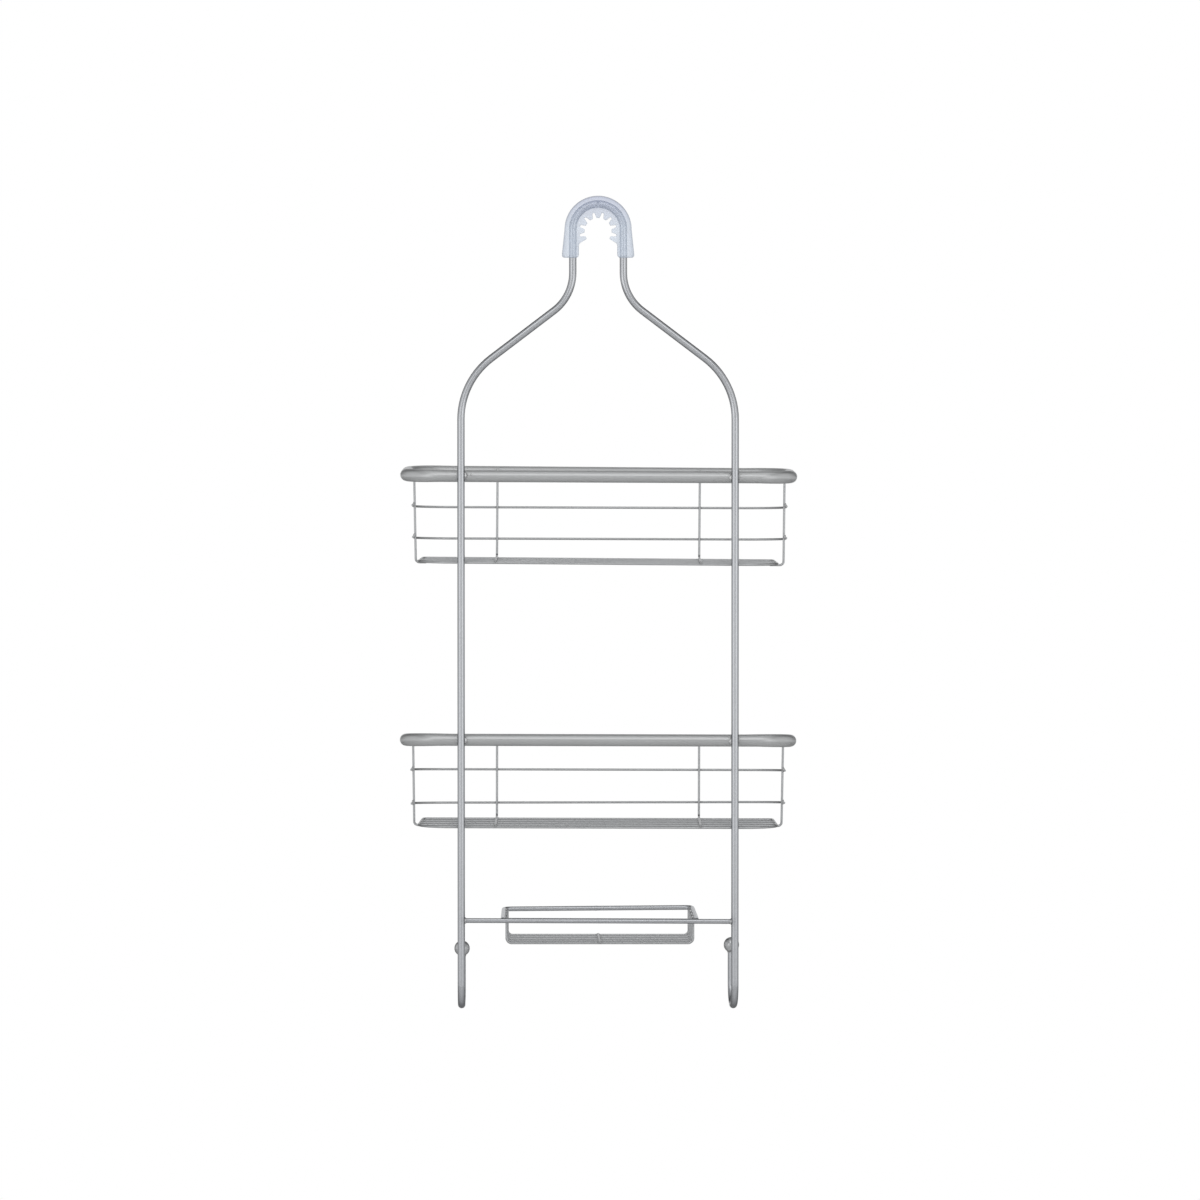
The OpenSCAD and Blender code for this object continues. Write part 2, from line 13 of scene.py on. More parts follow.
import bpy
import numpy as np
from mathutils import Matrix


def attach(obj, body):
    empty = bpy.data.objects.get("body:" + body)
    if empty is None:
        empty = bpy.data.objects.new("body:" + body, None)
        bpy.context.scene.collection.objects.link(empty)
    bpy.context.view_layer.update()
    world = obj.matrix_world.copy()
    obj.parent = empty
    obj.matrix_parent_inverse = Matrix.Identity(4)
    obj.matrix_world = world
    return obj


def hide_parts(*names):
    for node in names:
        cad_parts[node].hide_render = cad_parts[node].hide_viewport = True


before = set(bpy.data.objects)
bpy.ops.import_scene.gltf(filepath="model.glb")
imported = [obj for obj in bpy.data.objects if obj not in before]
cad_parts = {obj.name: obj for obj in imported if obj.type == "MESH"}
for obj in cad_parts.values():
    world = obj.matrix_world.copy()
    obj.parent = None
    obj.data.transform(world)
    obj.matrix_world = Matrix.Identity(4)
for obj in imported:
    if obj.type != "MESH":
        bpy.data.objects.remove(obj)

Array = np.ndarray
Vector3 = tuple[float, float, float]

MM = 0.001
BODY = "root"
WELD_ATTRIBUTE = "weld"
UV_NAME = "wire_uv"

# Rounded edge of a wire's open end, in shares of the edge's radius: how far its middle ring
# lies behind the end and inside the skin, and how far the wire's own rings keep from the end.
EDGE_MIDDLE = 0.29
EDGE_CLEAR = 1.5

# Welds: ripple round and up a lump, the turn from one lump's ripple to the next, and the
# share of a lump's longest reach that is as dark as its middle.
RIPPLE_ROUND, RIPPLE_UP = 0.07, 0.05
RIPPLE_STEP = 2.399
WELD_CORE = 0.5

# Satin coat: noise per metre for the slow drift of tone and for the pebble, the stretch of
# the wire's UV (per millimetre, across and along), and the roughness that a weld adds.
DRIFT_SCALE = 38.0
PEBBLE_SCALE = 5200.0
LINE_STRETCH = (0.9, 0.012, 1.0)
WELD_DULLNESS = 0.12
BUMP = {"Strength": 0.1, "Distance": 0.00002}

# Span of Layer Weight's Facing over which a painted highlight lifts the coat's colour where the eye glances
# along it.
PAINTED_GLANCE_SPAN = (0.8, 0.88)
SILICONE_IOR = 1.41
WHITE = (1, 1, 1, 1)

# Butt seams of the rims and the rail: height of the ridge, and its spread along the tube.
SEAM_RISE = 0.1
RIM_SEAM_SPREAD = 0.7
RAIL_SEAM_SPREAD = 0.6

# Newton steps of the grip's skin: their number, the nudge in millimetres that measures the
# slope, the least squared slope, and the furthest move as a share of a cell.
NEWTON_STEPS = 3
NUDGE = 0.02
LEAST_STEEPNESS = 0.2
FURTHEST_MOVE = 0.3

# Welds nearer to the wall side than this depth touch the bent rod.
ROD_WELD_DEPTH = 4.0

log = logging.getLogger("shower_caddy")


class Side(Enum):
    """Left and right as seen from the wall side."""

    LEFT = -1
    RIGHT = 1

    @property
    def word(self) -> str:
        """The side's name as the node names write it."""
        return self.name.lower()


class Level(Enum):
    """The two side rings of a basket."""

    HIGH = "high"
    LOW = "low"


class WeldSize(Enum):
    """Half sizes of the welds and drops along X, Y and Z, by where they sit."""

    RIM_ON_UPRIGHT = (3.9, 1.1, 3.0)
    RIM_SEAM = (0.6, 4.6, 4.6)
    COAT_DROP = (0.85, 0.5, 0.8)
    FRONT_WIRE_TOP = (1.5, 0.7, 2.4)
    END_WIRE_TOP = (0.9, 1.4, 1.6)
    RING_ON_FRONT_WIRE = (1.25, 0.55, 1.25)
    RING_ON_END_WIRE = (0.9, 1.6, 1.9)
    BASE_CROSSING = (1.25, 1.25, 0.5)
    RACK_END = (0.7, 1.2, 1.0)
    BALL_COLLAR = (3.5, 3.5, 0.9)
    BAR_ON_UPRIGHT = (1.1, 2.3, 2.4)
    RAIL_ON_BAR = (3.0, 0.6, 1.2)
    CRADLE_TOP = (0.6, 1.3, 1.7)
    CRADLE_CROSSING = (1.5, 1.3, 0.75)


# ---------------------------------------------------------------- vectors and routes


def unit(vector: Array) -> Array:
    """Returns the vector divided by its length."""
    vector = np.asarray(vector, float)
    return vector / np.linalg.norm(vector, axis=-1, keepdims=True)


def tan_deg(angle: float) -> float:
    """Tangent of an angle in degrees."""
    return math.tan(math.radians(angle))


def lean_about_y(points: Array, angle: float) -> Array:
    """Turns points about Y by degrees a: x' = x cos a + z sin a, y' = y, z' = z cos a - x sin a."""
    c, s = math.cos(math.radians(angle)), math.sin(math.radians(angle))
    return np.asarray(points, float) @ np.array([[c, 0, -s], [0, 1, 0], [s, 0, c]])


@dataclass
class Route:
    """Stations along a wire's centre line.

    Args:
        points: Station positions.
        along: Unit tangents.
        side: Unit vectors across the wire, carried along without twist.
        inward: Towards the bend's centre, of length 0 on straights and up to 1 in bends.
        closed: Whether the last station joins the first.
    """

    points: Array
    along: Array
    side: Array
    inward: Array
    closed: bool

    @property
    def run(self) -> Array:
        """Distance from the first station to each station."""
        steps = np.linalg.norm(np.diff(self.points, axis=0), axis=1)
        return np.concatenate([[0.0], np.cumsum(steps)])

    @property
    def up(self) -> Array:
        """Unit vectors across the wire, square to side."""
        return np.cross(self.along, self.side)


def route_through(
    corners: Array,
    radii: list[float],
    prefer: Vector3,
    closed: bool = False,
    step: float = 1.5,
    turn_step: float = 6.0,
) -> Route:
    """Lays stations along straights that are joined by round bends.

    A bend of radius r at a corner with turn t begins r tan(t/2) before it. At angle a of the
    turn the station lies at centre + r (sin a * incoming - cos a * normal), and the side
    vector is turned about the bend's axis by a (Rodrigues' formula).

    Args:
        corners: Corner points of the path, one per row.
        radii: Bend radius for each inner corner, or for every corner of a closed path.
        prefer: Direction that the first side vector should be near.
        closed: Whether the path returns to its first corner.
        step: Distance between stations on straights.
        turn_step: Degrees between stations in bends.

    Returns:
        The route.
    """
    corners = np.asarray(corners, float)
    count = len(corners)
    radius_at = dict(enumerate(radii)) if closed else {i + 1: r for i, r in enumerate(radii)}

    def turn_at(index: int) -> tuple[Array, Array, float, float]:
        """Measures the bend at a corner.

        Args:
            index: Number of the corner, which may run past the last one.

        Returns:
            Incoming and outgoing directions, turn in radians and radius.
        """
        before, here, after = (corners[(index + k) % count] for k in (-1, 0, 1))
        incoming, outgoing = unit(here - before), unit(after - here)
        turn = math.acos(float(np.clip(incoming @ outgoing, -1, 1)))
        return incoming, outgoing, turn, radius_at[index % count]

    def setback(index: int) -> float:
        """Distance from a corner to where its bend begins.

        Args:
            index: Number of the corner, which may run past the last one.

        Returns:
            The distance, 0 where there is no bend.
        """
        if index % count not in radius_at:
            return 0.0
        _, _, turn, radius = turn_at(index)
        return radius * math.tan(turn / 2)

    first = unit(corners[1] - corners[0])
    side = unit(np.asarray(prefer, float) - (np.asarray(prefer, float) @ first) * first)
    points, along, sides, inward = [], [], [], []
    for leg in range(count if closed else count - 1):
        here, after = corners[leg % count], corners[(leg + 1) % count]
        direction = unit(after - here)
        start = here + direction * setback(leg)
        length = np.linalg.norm(after - here) - setback(leg) - setback(leg + 1)
        at = np.linspace(0, length, max(2, int(round(length / step)) + 1))
        at = at if leg == 0 else at[1:]
        points.append(start + at[:, None] * direction)
        along.append(np.broadcast_to(direction, (len(at), 3)))
        sides.append(np.broadcast_to(side, (len(at), 3)))
        inward.append(np.zeros((len(at), 3)))
        if (leg + 1) % count not in radius_at:
            continue
        incoming, outgoing, turn, radius = turn_at(leg + 1)
        normal = unit(outgoing - (incoming @ outgoing) * incoming)
        axis = np.cross(incoming, normal)
        centre = after - incoming * setback(leg + 1) + radius * normal
        stations = max(3, int(math.ceil(math.degrees(turn) / turn_step)))
        a = np.linspace(0, turn, stations + 1)[1:, None]
        points.append(centre + radius * (np.sin(a) * incoming - np.cos(a) * normal))
        along.append(np.cos(a) * incoming + np.sin(a) * normal)
        sides.append(
            np.cos(a) * side
            + np.sin(a) * np.cross(axis, side)
            + (1 - np.cos(a)) * (axis @ side) * axis
        )
        swell = np.sqrt(np.sin(math.pi * np.minimum(a / turn, 1.0)).clip(0))
        inward.append(swell * (np.cos(a) * normal - np.sin(a) * incoming))
        side = sides[-1][-1]
    stacked = [np.concatenate(part) for part in (points, along, sides, inward)]
    if closed:
        stacked = [part[:-1] for part in stacked]
    return Route(*stacked, closed=closed)


# ---------------------------------------------------------------- surfaces


@dataclass
class Surface:
    """A mesh as whole arrays, in millimetres.

    Args:
        vertices: Vertex positions.
        quads: Vertex numbers of the four-sided faces.
        quad_uv: Texture coordinates of each quad's corners.
        triangles: Vertex numbers of the three-sided faces.
        triangle_uv: Texture coordinates of each triangle's corners.
    """

    vertices: Array
    quads: Array
    quad_uv: Array
    triangles: Array = field(default_factory=lambda: np.zeros((0, 3), int))
    triangle_uv: Array = field(default_factory=lambda: np.zeros((0, 3, 2)))

    @classmethod
    def plain(cls, vertices: Array, quads: Array, triangles: Array) -> "Surface":
        """A surface with no pattern along it, so that its texture coordinates are all 0."""
        quad_uv, triangle_uv = np.zeros((len(quads), 4, 2)), np.zeros((len(triangles), 3, 2))
        return cls(vertices, quads, quad_uv, triangles, triangle_uv)

    def to_object(self, name: str, weld_shade: Array | None = None) -> bpy.types.Object:
        """Makes a smooth-shaded object, with its place in the mesh.

        Args:
            name: Name of the piece.
            weld_shade: How strongly each vertex is darkened near a weld, 0 to 1, partly the joint's own
                tone and partly painted shade.

        Returns:
            The object, linked to the scene.
        """
        mesh = bpy.data.meshes.new(name)
        faces = self.quads.tolist() + self.triangles.tolist()
        mesh.from_pydata((self.vertices * MM).tolist(), [], faces)
        mesh.polygons.foreach_set("use_smooth", np.ones(len(faces), bool))
        uv = mesh.uv_layers.new(name=UV_NAME)
        corners = [self.quad_uv.reshape(-1, 2), self.triangle_uv.reshape(-1, 2)]
        uv.data.foreach_set("uv", np.concatenate(corners).astype(np.float32).ravel())
        if weld_shade is not None:
            attribute = mesh.attributes.new(WELD_ATTRIBUTE, "FLOAT", "POINT")
            attribute.data.foreach_set("value", weld_shade.astype(np.float32))
        mesh.update()
        made = bpy.data.objects.new(name, mesh)
        bpy.context.scene.collection.objects.link(made)
        return made


def grid_quads(rows: int, columns: int, closed_rows: bool) -> Array:
    """Vertex numbers of the quads of a grid whose columns wrap round.

    Args:
        rows: Number of rings.
        columns: Vertices in each ring.
        closed_rows: Whether the last ring joins the first.

    Returns:
        One row of four vertex numbers for each quad, facing outwards.
    """
    i, j = np.meshgrid(np.arange(rows if closed_rows else rows - 1), np.arange(columns), indexing="ij")
    i, j = i.ravel(), j.ravel()
    ahead, across = (i + 1) % rows, (j + 1) % columns
    corners = [i * columns + j, i * columns + across, ahead * columns + across, ahead * columns + j]
    return np.stack(corners, axis=1)


def pole_fans(rows: int, columns: int) -> Array:
    """Vertex numbers of the triangles that close a grid's first and last ring.

    The two poles follow the grid's own vertices, first the one by ring 0.

    Args:
        rows: Number of rings.
        columns: Vertices in each ring.

    Returns:
        One row of three vertex numbers for each triangle, facing as grid_quads does; the
        first pole's fan comes first.
    """
    ring = np.arange(columns)
    after, last, pole = (ring + 1) % columns, (rows - 1) * columns, np.full(columns, rows * columns)
    first_fan = np.stack([pole, after, ring], axis=1)
    last_fan = np.stack([pole + 1, last + ring, last + after], axis=1)
    return np.concatenate([first_fan, last_fan])


def circle_of(columns: int) -> Array:
    """Angles of a ring's vertices, in radians."""
    return np.arange(columns) * 2 * math.pi / columns


def tube(
    route: Route,
    diameter: float,
    sides: int,
    swell: Array | None = None,
    flatten: float = 0.0,
    bulge: float = 0.0,
    end_round: float = 0.3,
) -> Surface:
    """Carries a circle along a route.

    The point at angle p of station s is centre(s) + r(s) (cos p * side + sin p * up), where
    r is half the diameter plus the swell. A bent tube goes oval: in a bend the part of the
    offset that points inward is shortened by the flattening, and the part square to the
    bend's plane is lengthened by the bulge. Open ends are rounded by two smaller rings and
    closed by a fan.

    Args:
        route: The centre line.
        diameter: Diameter of the wire.
        sides: Vertices round the circle.
        swell: Added to the radius at each station.
        flatten: Share by which a bend's cross section is thinner towards its centre.
        bulge: Share by which it is thicker square to the bend's plane.
        end_round: Radius of the rounding at open ends, as a share of the wire's radius.

    Returns:
        The closed surface.
    """
    points, along, side, up, inward = route.points, route.along, route.side, route.up, route.inward
    radius = np.full(len(points), diameter / 2)
    if swell is not None:
        radius = radius + swell
    if not route.closed:
        edge = end_round * diameter / 2
        back = np.array([0.0, EDGE_MIDDLE * edge, edge])
        shrink = np.array([edge, EDGE_MIDDLE * edge, 0.0])
        inner = (route.run > EDGE_CLEAR * edge) & (route.run < route.run[-1] - EDGE_CLEAR * edge)
        first = points[0] + back[:, None] * along[0]
        last = points[-1] - back[::-1, None] * along[-1]

        def capped(part: Array) -> Array:
            """The inner stations' rows between three copies of each end's row."""
            return np.concatenate([part[[0] * 3], part[inner], part[[-1] * 3]])

        radius = capped(radius) - np.concatenate([shrink, np.zeros(inner.sum()), shrink[::-1]])
        points = np.concatenate([first, points[inner], last])
        along, side, up, inward = (capped(part) for part in (along, side, up, inward))
    angle = circle_of(sides)
    offset = np.cos(angle)[None, :, None] * side[:, None] + np.sin(angle)[None, :, None] * up[:, None]
    towards = np.einsum("ijk,ik->ij", offset, inward)[..., None] * inward[:, None]
    square = np.cross(along, inward)
    across = np.einsum("ijk,ik->ij", offset, square)[..., None] * square[:, None]
    offset = (offset - flatten * towards + bulge * across) * radius[:, None, None]
    vertices = (points[:, None] + offset).reshape(-1, 3)
    rings = len(points)
    quads = grid_quads(rings, sides, route.closed)
    steps = np.linalg.norm(np.diff(points, axis=0, append=points[:1]), axis=1)
    run = np.concatenate([[0.0], np.cumsum(steps)])
    i, j = quads[:, 0] // sides, quads[:, 0] % sides
    arc = math.pi * diameter / sides
    u = np.stack([j, j + 1, j + 1, j], axis=1) * arc
    v = np.stack([run[i], run[i], run[i + 1], run[i + 1]], axis=1)
    quad_uv = np.stack([u, v], axis=-1)
    if route.closed:
        return Surface(vertices, quads, quad_uv)
    vertices = np.concatenate([vertices, points[:1], points[-1:]])
    triangles = pole_fans(rings, sides)
    return Surface(vertices, quads, quad_uv, triangles, np.zeros((len(triangles), 3, 2)))


@dataclass(frozen=True)
class Weld:
    """A small lump of weld metal or coat.

    Args:
        at: Middle of the place where it sits.
        size: Its half sizes.
    """

    at: Vector3
    size: WeldSize


def weld_shading(surface: Surface, welds: list[Weld], spread: float) -> Array:
    """How strongly each vertex is darkened by the welds nearby, partly painted shade where parts meet.

    A weld's shade is exp(-(d / spread)^2), where d is the distance past its core, and the
    strongest shade counts.

    Args:
        surface: The surface.
        welds: Welds that may darken it.
        spread: Distance over which the shade fades.

    Returns:
        One value for each vertex, 0 to 1.
    """
    shade = np.zeros(len(surface.vertices))
    for weld in welds:
        gap = np.linalg.norm(surface.vertices - np.array(weld.at), axis=1)
        gap = np.maximum(gap - WELD_CORE * max(weld.size.value), 0)
        shade = np.maximum(shade, np.exp(-((gap / spread) ** 2)))
    return shade


def weld_lumps(welds: list[Weld], rows: int = 9, columns: int = 14) -> Surface:
    """All the lumps of one assembly as one surface.

    Each lump is an ellipsoid: at polar angle t and turn p its point is
    reach * (sin t cos p, sin t sin p, cos t), times a ripple
    1 + a sin(3 p + k) sin 2t + b cos(2 t + 2 k), where a and b are the ripple round and up
    and the phase k differs from lump to lump.

    Args:
        welds: The welds.
        rows: Rings between the poles.
        columns: Vertices in each ring.

    Returns:
        One closed surface for each weld, joined in one mesh.
    """
    t = np.linspace(0, math.pi, rows + 2)[1:-1, None]
    p = circle_of(columns)[None, :]
    ball = np.stack([np.sin(t) * np.cos(p), np.sin(t) * np.sin(p), np.cos(t) + 0 * p], axis=-1)
    count = len(welds)
    phase = (np.arange(count) * RIPPLE_STEP)[:, None, None]
    ripple = 1 + RIPPLE_ROUND * np.sin(3 * p + phase) * np.sin(2 * t)
    ripple = ripple + RIPPLE_UP * np.cos(2 * t + 2 * phase)
    at = np.array([weld.at for weld in welds])
    reach = np.array([weld.size.value for weld in welds])
    body = (ball[None] * ripple[..., None]).reshape(count, -1, 3)
    poles = np.broadcast_to(np.array([[0, 0, 1.0], [0, 0, -1.0]]), (count, 2, 3))
    vertices = np.concatenate([body, poles], axis=1) * reach[:, None] + at[:, None]
    per_lump = rows * columns + 2
    base = grid_quads(rows, columns, closed_rows=False)[:, ::-1]
    fans = pole_fans(rows, columns)[:, [0, 2, 1]]
    shift = (np.arange(count) * per_lump)[:, None, None]
    quads = (base[None] + shift).reshape(-1, 4)
    triangles = (fans[None] + shift).reshape(-1, 3)
    return Surface.plain(vertices.reshape(-1, 3), quads, triangles)


# ---------------------------------------------------------------- shader tools


class Shader:
    """Adds nodes to one node tree and links them, so that a finish reads as a list."""

    def __init__(self, tree: bpy.types.NodeTree) -> None:
        """Keeps the node tree of a material, a world or a group."""
        self.tree = tree

    @classmethod
    def fresh(cls, owner: bpy.types.Material | bpy.types.World) -> "Shader":
        """Starts on the emptied node tree of a material or a world.

        Args:
            owner: The material or world.

        Returns:
            Its shader.
        """
        owner.use_nodes = True
        owner.node_tree.nodes.clear()
        return cls(owner.node_tree)

    def feed(self, node: bpy.types.Node, values: dict) -> None:
        """Sets or links a node's inputs.

        Args:
            node: The node.
            values: Input name or number to a value, or to a socket to link from.
        """
        for name, value in values.items():
            if isinstance(value, bpy.types.NodeSocket):
                self.tree.links.new(value, node.inputs[name])
            else:
                node.inputs[name].default_value = value

    def node(self, kind: str, values: dict | None = None, **settings: object) -> bpy.types.Node:
        """Adds a node.

        Args:
            kind: Node type.
            values: Input name or number to a value, or to a socket to link from.
            **settings: Properties of the node.

        Returns:
            The node.
        """
        made = self.tree.nodes.new(kind)
        for name, value in settings.items():
            setattr(made, name, value)
        self.feed(made, values or {})
        return made

    def maths(self, operation: str, *values: object, clamp: bool = False) -> bpy.types.NodeSocket:
        """Adds a Math node and returns its result."""
        inputs = dict(enumerate(values))
        return self.node("ShaderNodeMath", inputs, operation=operation, use_clamp=clamp).outputs[0]

    def blend(self, share: object, first: object, second: object) -> bpy.types.NodeSocket:
        """Mixes two colours and returns the result."""
        return self.node("ShaderNodeMix", {0: share, 6: first, 7: second}, data_type="RGBA").outputs[2]

    def noise(
        self, place: bpy.types.NodeSocket, scale: float, detail: float, roughness: float = 0.5
    ) -> bpy.types.NodeSocket:
        """Adds a Noise Texture and returns its value."""
        values = {"Vector": place, "Scale": scale, "Detail": detail, "Roughness": roughness}
        return self.node("ShaderNodeTexNoise", values).outputs["Fac"]

    def ramp(
        self,
        value: bpy.types.NodeSocket,
        span: tuple[float, float],
        reach: tuple[float, float] = (0.0, 1.0),
    ) -> bpy.types.NodeSocket:
        """Runs in a straight line from one number to another while a value crosses a span.

        Args:
            value: The value.
            span: Where the line begins and ends.
            reach: Result at the beginning and at the end, kept beyond them.

        Returns:
            The result.
        """
        (low, high), (first, last) = span, reach
        values = {"Value": value, "From Min": low, "From Max": high, "To Min": first, "To Max": last}
        return self.node("ShaderNodeMapRange", values).outputs[0]


def new_group(
    name: str, inputs: dict[str, float], outputs: list[str]
) -> tuple[Shader, bpy.types.Node, bpy.types.Node]:
    """Starts a shader node group.

    Args:
        name: Name of the group.
        inputs: Input names with their default values; a name with "Colour" is a colour.
        outputs: Output names.

    Returns:
        The group's shader, its input node and its output node.
    """
    group = bpy.data.node_groups.new(name, "ShaderNodeTree")
    kinds = {True: "NodeSocketColor", False: "NodeSocketFloat"}
    for title, value in inputs.items():
        socket = group.interface.new_socket(title, in_out="INPUT", socket_type=kinds["Colour" in title])
        socket.default_value = (value, value, value, 1) if "Colour" in title else value
    for title in outputs:
        group.interface.new_socket(title, in_out="OUTPUT", socket_type=kinds["Colour" in title])
    shader = Shader(group)
    return shader, shader.node("NodeGroupInput"), shader.node("NodeGroupOutput")


def build_coat_group() -> bpy.types.NodeTree:
    """Builds the group for a satin coat over drawn wire.

    The coat's fine pebble and its slow drift of tone are noise on Object coordinates; faint
    lines along the wire are noise on the wire's own UV, stretched along its length; near a
    weld the colour darkens, partly for the joint's own tone and partly as painted shade where
    parts meet, and the coat is duller.

    Returns:
        The group, which puts out a colour, a roughness and a height.
    """
    inputs = {
        "Colour": 0.4, "Weld Colour": 0.2, "Weld Amount": 0.5, "Drift": 0.06,
        "Line Amount": 0.05, "Roughness": 0.35, "Roughness Drift": 0.06, "Pebble": 0.5,
    }
    shader, given, result = new_group("satin_coat", inputs, ["Colour", "Roughness", "Height"])
    take = given.outputs
    place = shader.node("ShaderNodeTexCoord").outputs["Object"]
    slow = shader.noise(place, DRIFT_SCALE, detail=2.0)
    fine = shader.noise(place, PEBBLE_SCALE, detail=1.0)
    wire_uv = shader.node("ShaderNodeUVMap", uv_map=UV_NAME).outputs["UV"]
    stretched = shader.node("ShaderNodeMapping", {"Vector": wire_uv, "Scale": LINE_STRETCH})
    lines = shader.noise(stretched.outputs["Vector"], 1.0, detail=3.0, roughness=0.6)
    weld = shader.node("ShaderNodeAttribute", attribute_name=WELD_ATTRIBUTE).outputs["Fac"]
    swing = shader.maths("SUBTRACT", slow, 0.5)
    drift = shader.maths("MULTIPLY", swing, take["Drift"])
    line = shader.maths("MULTIPLY", shader.maths("SUBTRACT", lines, 0.5), take["Line Amount"])
    tone = shader.maths("ADD", 1.0, shader.maths("ADD", drift, line))
    coat = shader.node("ShaderNodeHueSaturation", {"Value": tone, "Color": take["Colour"]}).outputs["Color"]
    # Darkening near welds: partly the joint's own tone, partly painted shade where two parts meet.
    joint_shade_share = shader.maths("MULTIPLY", weld, take["Weld Amount"], clamp=True)
    colour = shader.blend(joint_shade_share, coat, take["Weld Colour"])
    wander = shader.maths("MULTIPLY", swing, take["Roughness Drift"])
    dull = shader.maths("MULTIPLY", joint_shade_share, WELD_DULLNESS)
    roughness = shader.maths("ADD", shader.maths("ADD", take["Roughness"], wander), dull)
    pebble = shader.maths("MULTIPLY", fine, take["Pebble"])
    height = shader.maths("ADD", pebble, shader.maths("MULTIPLY", lines, take["Line Amount"]))
    shader.feed(result, {"Colour": colour, "Roughness": roughness, "Height": height})
    return shader.tree


# ---------------------------------------------------------------- finishes


def new_material(name: str) -> tuple[bpy.types.Material, Shader, bpy.types.Node]:
    """Starts a material with a Principled shader.

    Args:
        name: Name of the material.

    Returns:
        The material, its shader and its Principled node.
    """
    material = bpy.data.materials.new(name)
    shader = Shader.fresh(material)
    skin = shader.node("ShaderNodeBsdfPrincipled")
    shader.node("ShaderNodeOutputMaterial", {"Surface": skin.outputs[0]})
    return material, shader, skin


@dataclass(frozen=True)
class CoatFinish:
    """Satin grey coat on metal.

    Facing runs from 0, where the surface faces the eye, to 1 where it is seen edge on.

    Args:
        name: Name of the material.
        slot: Slot of the record that it stands for; not used.
        colour: Base colour.
        weld_colour: Darker colour beside a weld, partly the joint's own tone and partly painted shade where
            parts meet.
        weld_amount: How far the colour goes to the weld colour.
        roughness: Roughness of the coat.
        edge: Share of the mirrored light that is kept where the surface turns away.
        painted_edge_shade: Share of the colour that is kept where the surface turns away, a painted shade
            on the edges.
        painted_edge_span: Facing where that painted shade begins to count, and where it is reached.
        painted_glance_highlight: Share of the colour where the eye only glances along the surface, a
            painted highlight.
        drift: Slow change of tone over the piece.
        lines: Strength of the faint lines along the wire.
        pebble: Strength of the coat's fine pebble.
    """

    name: str
    slot: str
    colour: Vector3
    weld_colour: Vector3 = (0.26, 0.265, 0.27)
    weld_amount: float = 0.55
    roughness: float = 0.33
    edge: float = 0.6
    painted_edge_shade: float = 0.5
    painted_edge_span: tuple[float, float] = (0.25, 0.75)
    painted_glance_highlight: float = 1.4
    drift: float = 0.06
    lines: float = 0.035
    pebble: float = 0.5

    def material(self, coat_group: bpy.types.NodeTree) -> bpy.types.Material:
        """Builds the material.

        Args:
            coat_group: The shared satin coat group.

        Returns:
            The material.
        """
        material, shader, skin = new_material(self.name)
        values = {
            "Colour": (*self.colour, 1), "Weld Colour": (*self.weld_colour, 1),
            "Weld Amount": self.weld_amount, "Drift": self.drift, "Line Amount": self.lines,
            "Roughness": self.roughness, "Pebble": self.pebble,
        }
        coat = shader.node("ShaderNodeGroup", values, node_tree=coat_group).outputs
        bump = shader.node("ShaderNodeBump", {"Height": coat["Height"], **BUMP})
        # Painted light: Layer Weight darkens the colour towards the edges as painted shade and lifts it at
        # the last glance as a painted highlight.
        facing = shader.node("ShaderNodeLayerWeight", {"Blend": 0.5}).outputs["Facing"]
        edge = shader.ramp(facing, self.painted_edge_span, (1.0, self.painted_edge_shade))
        glance = shader.ramp(facing, PAINTED_GLANCE_SPAN, (0.0, self.painted_glance_highlight))
        tone = shader.maths("MAXIMUM", edge, glance)
        colour = shader.node("ShaderNodeHueSaturation", {"Value": tone, "Color": coat["Colour"]})
        shader.feed(skin, {
            "Base Color": colour.outputs[0], "Roughness": coat["Roughness"], "Metallic": 1.0,
            "Specular Tint": (self.edge, self.edge, self.edge, 1), "Normal": bump.outputs["Normal"],
        })
        return material


